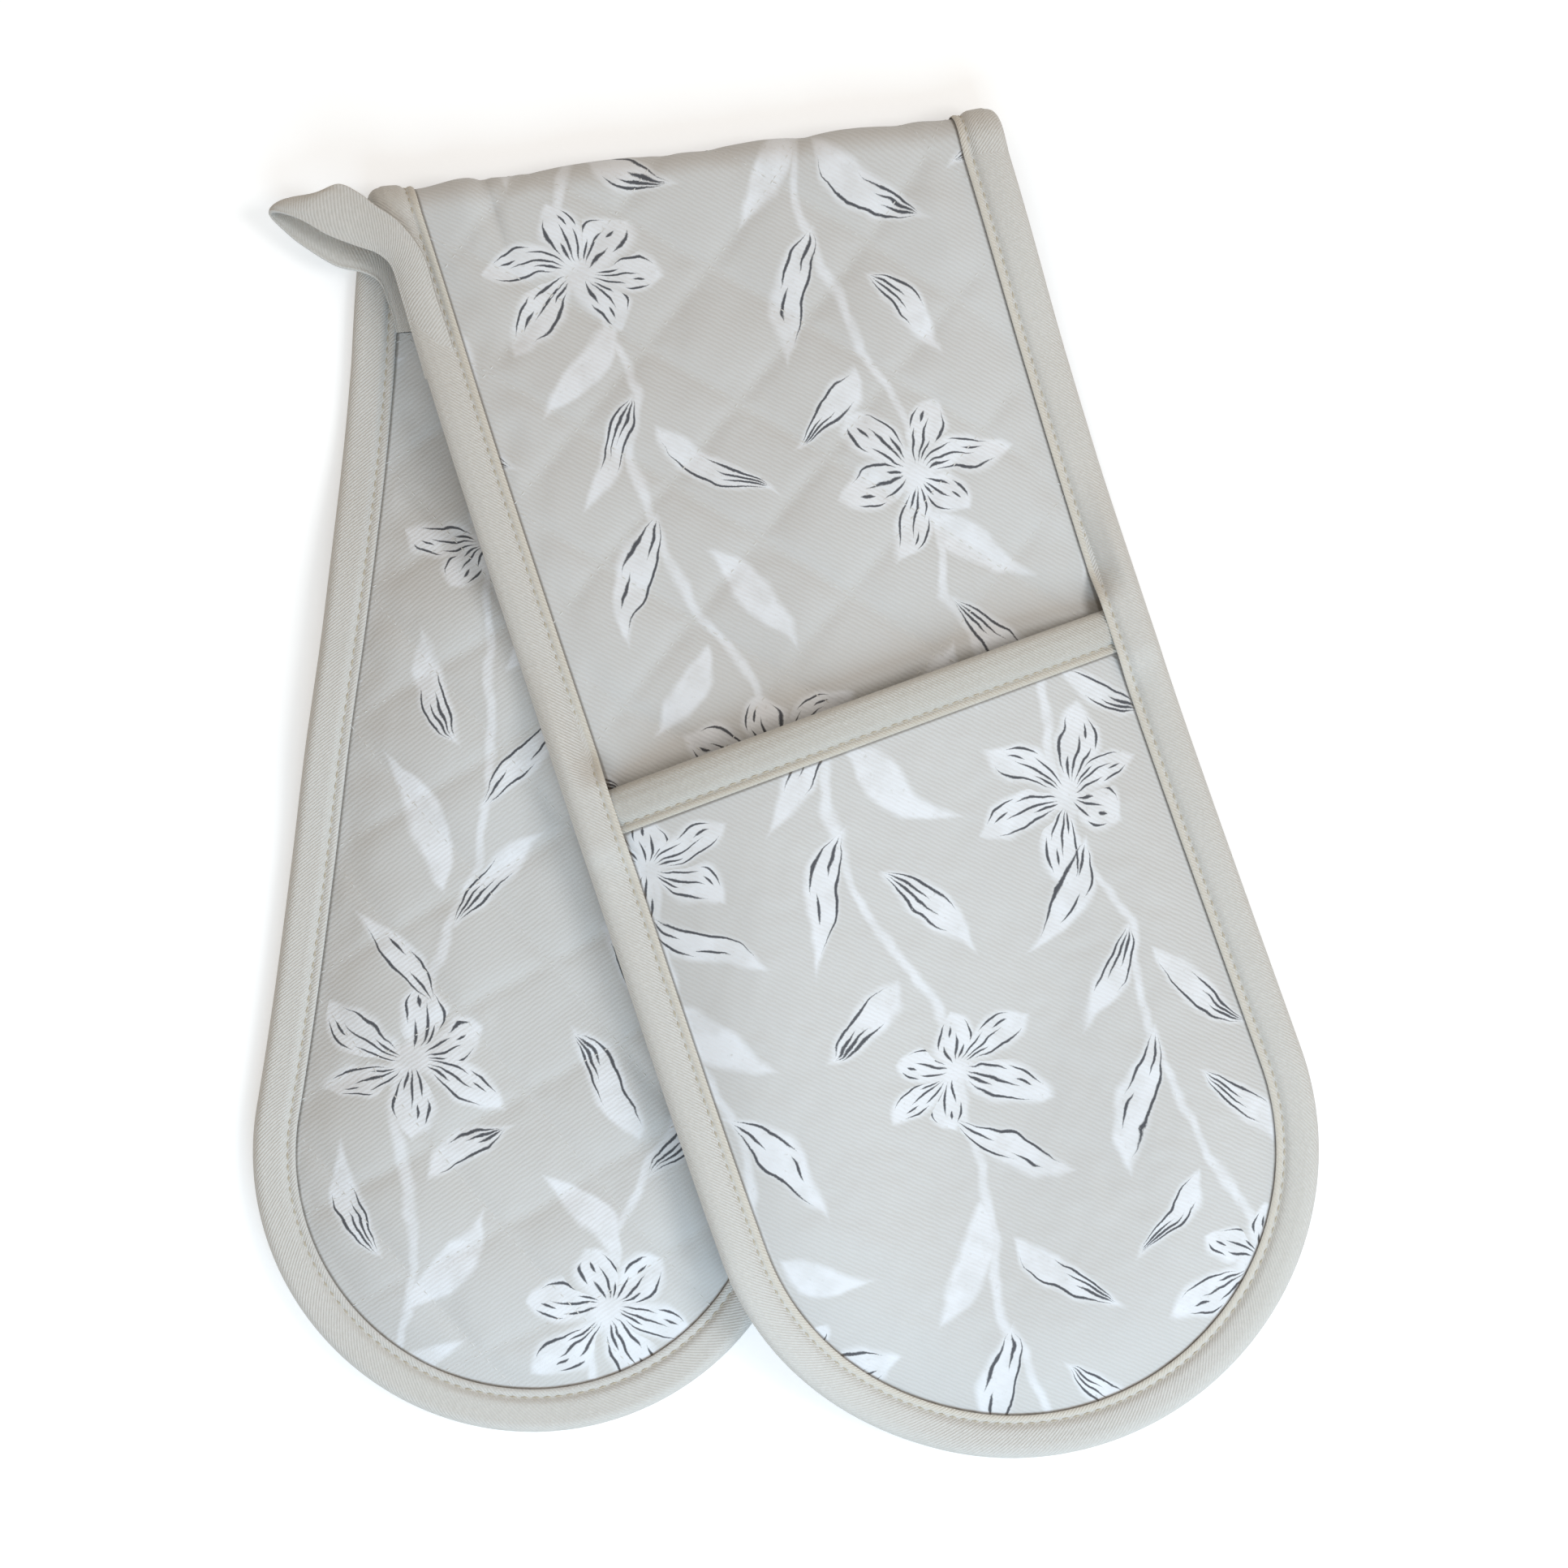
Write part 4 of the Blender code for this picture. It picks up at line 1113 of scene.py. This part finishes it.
def hanging_loop():
    line = curve_through(LOOP_ROWS, LOOP_STEPS) / 1000
    left, right, camber = line[:, :3], line[:, 3:6], line[:, 6]
    middles = (left + right) / 2
    wide = (right - left) / 2
    thick = unit(np.cross(wide, np.gradient(middles, axis=0)))
    around = np.linspace(0, 2 * math.pi, LOOP_AROUND + 1)[:-1]
    across = np.sign(np.cos(around)) * (1 - (1 - np.abs(np.cos(around))) ** SQUARE_ACROSS)
    hem = 1 - HEM_GROOVE * bell(np.abs(across) - HEM_PLACE, HEM_WIDTH)
    height = np.sign(np.sin(around)) * np.abs(np.sin(around)) ** SQUARE_UP * hem
    rise = camber[:, None] * (1 - across[None, :] ** 2) + height[None, :] * LOOP_THICK / 2
    sections = middles[:, None] + wide[:, None] * across[None, :, None] + thick[:, None] * rise[..., None]
    return tube("hanging_loop_tape", BINDING, sections, first_girth=LOOP_CUT)


# Threads
STITCH_RINGS = np.array([0.0, 0.12, 0.5, 0.88, 1.0])
STITCH_SIZES = np.array([0.25, 0.85, 1.0, 0.85, 0.25])
STITCH_TURNS = np.linspace(0, 2 * math.pi, 7)[:-1]
STITCH_WIDE, STITCH_HIGH = 1.15, 0.8


def stitches(points, normals, size, keep=None):
    """Rings of the stitches along a line of points, each stitch bowed out of the cloth between its ends."""
    pitch, length, radius, proud = size
    keep = np.ones(len(points)) if keep is None else keep
    run = way_along(points)
    first = np.arange(pitch / 2, run[-1] - pitch, pitch)
    at = first[:, None] + length * STITCH_RINGS[None, :]

    def along(values):
        return np.stack([np.interp(at, run, values[:, i]) for i in range(values.shape[1])], axis=-1)

    here = np.interp(first + length / 2, run, keep.astype(float)) > 0.5
    middles, up = along(points)[here], unit(along(normals)[here])
    if not len(middles):
        return middles.reshape(0, len(STITCH_RINGS), len(STITCH_TURNS), 3)
    ahead = unit(middles[:, -1:] - middles[:, :1])
    side = unit(np.cross(ahead, up))
    bow = proud * np.sin(STITCH_RINGS * math.pi) - radius * (1 - np.sin(STITCH_RINGS * math.pi))
    middles = middles + up * bow[None, :, None]
    ring = np.cos(STITCH_TURNS)[None, None, :, None] * side[:, :, None] * STITCH_WIDE
    ring = ring + np.sin(STITCH_TURNS)[None, None, :, None] * up[:, :, None] * STITCH_HIGH
    return middles[:, :, None] + ring * (radius * STITCH_SIZES[None, :, None, None])


def thread_piece(name, batches, finish):
    rings = np.concatenate(batches)
    count, rows, turns = rings.shape[:3]
    index = np.arange(count * rows * turns).reshape(count, rows, turns)
    quads = grid_faces(ringed(index))[:, TURNED]
    ends = np.concatenate([index[:, 0, ::-1], index[:, -1]])
    return new_piece(name, finish, rings.reshape(-1, 3), None, quads.tolist() + ends.tolist())


# Pitch, length, radius and height of a stitch
TOPSTITCH = (0.0033, 0.0026, 0.00026, 0.00022)
QUILT_STITCH = (0.0034, 0.0021, 0.00017, 0.00006)
# How far the quilting's thread runs on under a pocket, and the mouth's under the edge tape
QUILT_PAST_MOUTH, MOUTH_UNDER = 0.004, 0.001
# Stations along the strip, quilting lines on each side of the middle, and the step of the search for them
QUILT_STATIONS, QUILT_LINES, SEARCH_STEP = 800, 14, 1e-4
# How far off the cloth the direction of a stitch is measured
STEP_OUT = 0.002


def both_faces(arm, place, s, t, top, under):
    """Topstitching on both faces of a tape, whose stitches lie at the offsets top and under."""
    batches = []
    for face, n in ((1, top), (-1, under)):
        points = place(s, t, n)
        batches.append(stitches(points, np.tile([0.0, 0.0, face * arm.side], (len(points), 1)), TOPSTITCH))
    return batches


def edge_stitches(arm):
    levels = tape_levels(arm)
    s, t = edge_line(arm, SEAM_DEPTH)
    under = levels[0] - SEAM_GAP - TAPE - np.minimum(tape_rise(SEAM_DEPTH), 0)
    return both_faces(arm, arm.strip_point, s[:, 0], t[:, 0], seam_top(*levels), under)


def mouth_stitches(arm):
    half = float(arm.half_width(arm.mouth)) - TAPE_REACH + MOUTH_UNDER
    t = np.linspace(-half, half, 120)
    top = seam_top(*POCKET_SIDES)
    return both_faces(arm, arm.pocket_point, arm.row(arm.mouth + SEAM_DEPTH, t), t, top, -top)


def fold_edge_stitches():
    b = np.linspace(-BAND_END, BAND_END, 61)
    top = seam_top(*STRIP_SIDES)
    batches = []
    for t in (SEAM_DEPTH - FOLD_WIDTH / 2, FOLD_WIDTH / 2 - SEAM_DEPTH):
        out = unit(fold_point(b, t, STEP_OUT) - fold_point(b, t, 0.0))
        batches += [stitches(fold_point(b, t, face * top), out * face, TOPSTITCH) for face in (1, -1)]
    return batches


def quilt_lines():
    """(t, v) along every quilting line, v being the place along the whole strip."""
    v = np.linspace(-BACK_LENGTH, FRONT_LENGTH, QUILT_STATIONS)
    for phase in QUILT:
        for number in range(-QUILT_LINES, QUILT_LINES + 1):
            t = np.zeros_like(v)
            for _ in range(4):
                slope = (phase(t + SEARCH_STEP, v) - phase(t, v)) / SEARCH_STEP
                t = t - (phase(t, v) - number) / slope
            yield t, v


def quilt_stitches(arm):
    """Rings of the quilting stitches on both faces of an arm, or of the fold band where arm is None."""
    batches = []
    for t, v in quilt_lines():
        b = v.copy()
        for _ in range(6):
            lean = band_lean(np.clip(b, -BAND_END, BAND_END))
            b = v * np.cos(lean) - t * np.sin(lean)
        on_band = np.abs(b) <= BAND_END
        if arm:
            s = np.clip(arm.side * v, 0, arm.length)
            covered = arm.past_mouth(s, t) >= QUILT_PAST_MOUTH
            shows = ~on_band & (arm.side * v > 0) & (arm.edge_distance(s, t) > FACE_INSET)
            half = cover_half(arm.freedom(s, t), t, v) + pucker(arm, s, t)
            place = lambda n: arm.strip_point(s, t, n)
        else:
            covered = False
            shows = on_band & (FOLD_WIDTH / 2 - np.abs(t) > FACE_INSET)
            half = cover_half(fold_free(t), t, v)
            place = lambda n: fold_point(np.clip(b, -BAND_END, BAND_END), t, n)
        for face, keep in ((1, shows & ~np.array(covered)), (-1, shows)):
            if keep.sum() < 4:
                continue
            points = place(face * half)
            up = unit(place(face * (half + STEP_OUT)) - points)
            near = np.convolve(keep, np.ones(9), "same") > 0
            batches.append(stitches(points[near], up[near], QUILT_STITCH, keep[near]))
    return batches


def cloth(piece, held, rests_on, with_pieces=()):
    width, length, area = CUT[piece.name]
    names = [f"{name}_cloth" for name in rests_on]
    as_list(with_pieces)


# Places at the hanging loop where it is sewn on and where it hangs free
LOOP_SEWN, LOOP_FREE = (-0.0790, 0.1560, 0.0186), (-0.0930, 0.1680, 0.0186)
# The front arm rests on the back arm in a hump. Opened out, it lies on the table.
# Each ply: its place in the strip or the pocket, its own name in a pocket, its finish and its mesh's pitch
STRIP_PLIES = (("outer_cover", PRINTED, FINE), ("wadding", WADDING, COARSE), ("inner_cover", PRINTED, FINE))
POCKET_PLIES = (
    ("outer_cover", "cover", PRINTED, FINE),
    ("wadding", "wadding", WADDING, COARSE),
    ("inner_cover", "lining", LINING, FINE),
)
# Nodes of an arm and of the fold
ARM_NODES = (
    "outer_cover",
    "wadding",
    "inner_cover",
    "pocket_cover",
    "pocket_wadding",
    "pocket_lining",
    "pocket_mouth_binding",
    "edge_binding",
)
FOLD_NODES = ("outer_cover", "wadding", "inner_cover", "binding_left", "binding_right")


def attach(piece, body, node=None):
    """Joins a piece to an arm, or bakes it in place for the fold. The solid node it stands for is hidden; else
    it is thread.
    """
    if body == "fold":
        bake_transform(piece)
    else:
        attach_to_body(piece, body)
    if body == "front_arm":
        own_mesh(piece)
    if node:
        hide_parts(node)


for arm, body in ((BACK, "back_arm"), (FRONT, "front_arm")):
    name = arm.name
    threads = thread_piece(f"{name}_topstitching", edge_stitches(arm) + mouth_stitches(arm), THREAD)
    quilts = thread_piece(f"{name}_quilting", quilt_stitches(arm), QUILTING_THREAD)
    for piece in (threads, quilts):
        attach(piece, body)
    outer, fill, inner = [strip_sheet(arm, *ply) for ply in STRIP_PLIES]
    pocket, pocket_fill, lining = [pocket_sheet(arm, *ply) for ply in POCKET_PLIES]
    mouth, edge = mouth_tape(arm), edge_tape(arm)
    pieces = (outer, fill, inner, pocket, pocket_fill, lining, mouth, edge)
    for piece, node in zip(pieces, ARM_NODES):
        attach(piece, body, f"{name}_{node}")
    cloth(outer, "laid", [f"{name}_wadding"], [quilts])
    cloth(inner, "laid", [f"{name}_wadding"])
    cloth(pocket, "laid", [f"{name}_pocket_wadding"])
    cloth(lining, "laid", [f"{name}_pocket_wadding"])
    cloth(mouth, "folded", [f"{name}_pocket_cover"])
    cloth(edge, "folded", [f"{name}_outer_cover", f"{name}_pocket_cover"], [threads])

threads = thread_piece("fold_topstitching", fold_edge_stitches(), THREAD)
quilts = thread_piece("fold_quilting", quilt_stitches(None), QUILTING_THREAD)
for piece in (threads, quilts):
    attach(piece, "fold")
outer, fill, inner = [fold_sheet(*ply) for ply in STRIP_PLIES]
left, right = fold_tape(-1, "fold_binding_left_cloth"), fold_tape(1, "fold_binding_right_cloth")
for piece, node in zip((outer, fill, inner, left, right), FOLD_NODES):
    attach(piece, "fold", f"fold_{node}")
cloth(outer, "folded", ["fold_wadding"], [quilts])
cloth(inner, "folded", ["fold_wadding"])
cloth(left, "folded", ["fold_outer_cover"], [threads])
cloth(right, "folded", ["fold_outer_cover"])

loop = hanging_loop()
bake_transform(loop)
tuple(LOOP_SEWN)
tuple(LOOP_FREE)
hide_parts("hanging_loop")
cloth(loop, "folded", ["front_edge_binding"])


# Floor, light and camera
FLOOR_HALF = 3.0
PAPER, GLOW, GLOW_LEVEL = (0.78, 0.78, 0.78, 1), (0.92, 0.96, 1.0, 1), 0.40
# Away from the object the paper fades to plain white for the camera, so that no horizon shows
FADE_FROM, FADE_TO = 0.36, 0.95
WHITE = (1, 1, 1, 1)
SKY, SKY_LEVEL = (1.0, 0.88, 0.75, 1), 0.54
# Each lamp: name, place, size, power, colour
LAMPS = (
    ("window", (0.10, -0.88, 0.78), 0.8, 8.3, (0.60, 0.82, 1.0)),
    ("side", (1.10, -0.10, 1.45), 0.6, 9.6, (1.0, 1.0, 1.0)),
)
CAMERA_PLACE, CAMERA_TURN = (0.013263, 0.007429, 1.0), math.radians(-7.428)
FOCAL_LENGTH, SENSOR = 78.07, 36


def stage():
    g = Graph(bpy.data.materials.new("floor_paper"), empty=True)
    seen = g.seen()
    plain = g.node("BsdfDiffuse", {"Color": PAPER}).outputs[0]
    glow = g.node("Emission", {"Color": GLOW, "Strength": g.mul(seen, GLOW_LEVEL)}).outputs[0]
    paper = g.node("AddShader", (plain, glow)).outputs[0]
    away = g.vector("LENGTH", g.node("NewGeometry").outputs["Position"])
    share = g.mul(g.ramp(away, FADE_FROM, FADE_TO), seen)
    blank = g.node("Emission", {"Color": WHITE}).outputs[0]
    g.node("OutputMaterial", {"Surface": g.node("MixShader", (share, paper, blank)).outputs[0]})
    mesh = bpy.data.meshes.new("floor")
    corners = [(x * FLOOR_HALF, y * FLOOR_HALF, 0) for x, y in ((-1, -1), (1, -1), (1, 1), (-1, 1))]
    mesh.from_pydata(corners, [], [(0, 1, 2, 3)])
    mesh.materials.append(g.owner)
    shown("floor", mesh)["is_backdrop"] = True


def light():
    world = bpy.data.worlds.new("studio")
    bpy.context.scene.world = world
    g = Graph(world, empty=True)
    soft = g.node("Background", {"Color": SKY, "Strength": SKY_LEVEL}).outputs[0]
    white = g.node("Background", {"Color": WHITE}).outputs[0]
    g.node("OutputWorld", {"Surface": g.node("MixShader", (g.seen(), soft, white)).outputs[0]})
    for name, place, size, power, colour in LAMPS:
        lamp = bpy.data.lights.new(name, "AREA")
        lamp.size = size
        lamp.energy = power
        lamp.color = colour
        made = shown(name, lamp)
        made.location = place
        made.rotation_euler = (-Vector(place)).to_track_quat("-Z", "Y").to_euler()


def camera():
    lens = bpy.data.cameras.new("camera")
    lens.lens = FOCAL_LENGTH
    lens.sensor_width = SENSOR
    made = shown("camera", lens)
    made.location = CAMERA_PLACE
    made.rotation_euler = (0, 0, CAMERA_TURN)
    bpy.context.scene.camera = made


stage()
light()
camera()
bpy.context.scene.view_settings.view_transform = "Standard"

boxes = {"cad": CAD_BOX, "visual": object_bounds()}
{name: [list(corner) for corner in box] for name, box in boxes.items()}
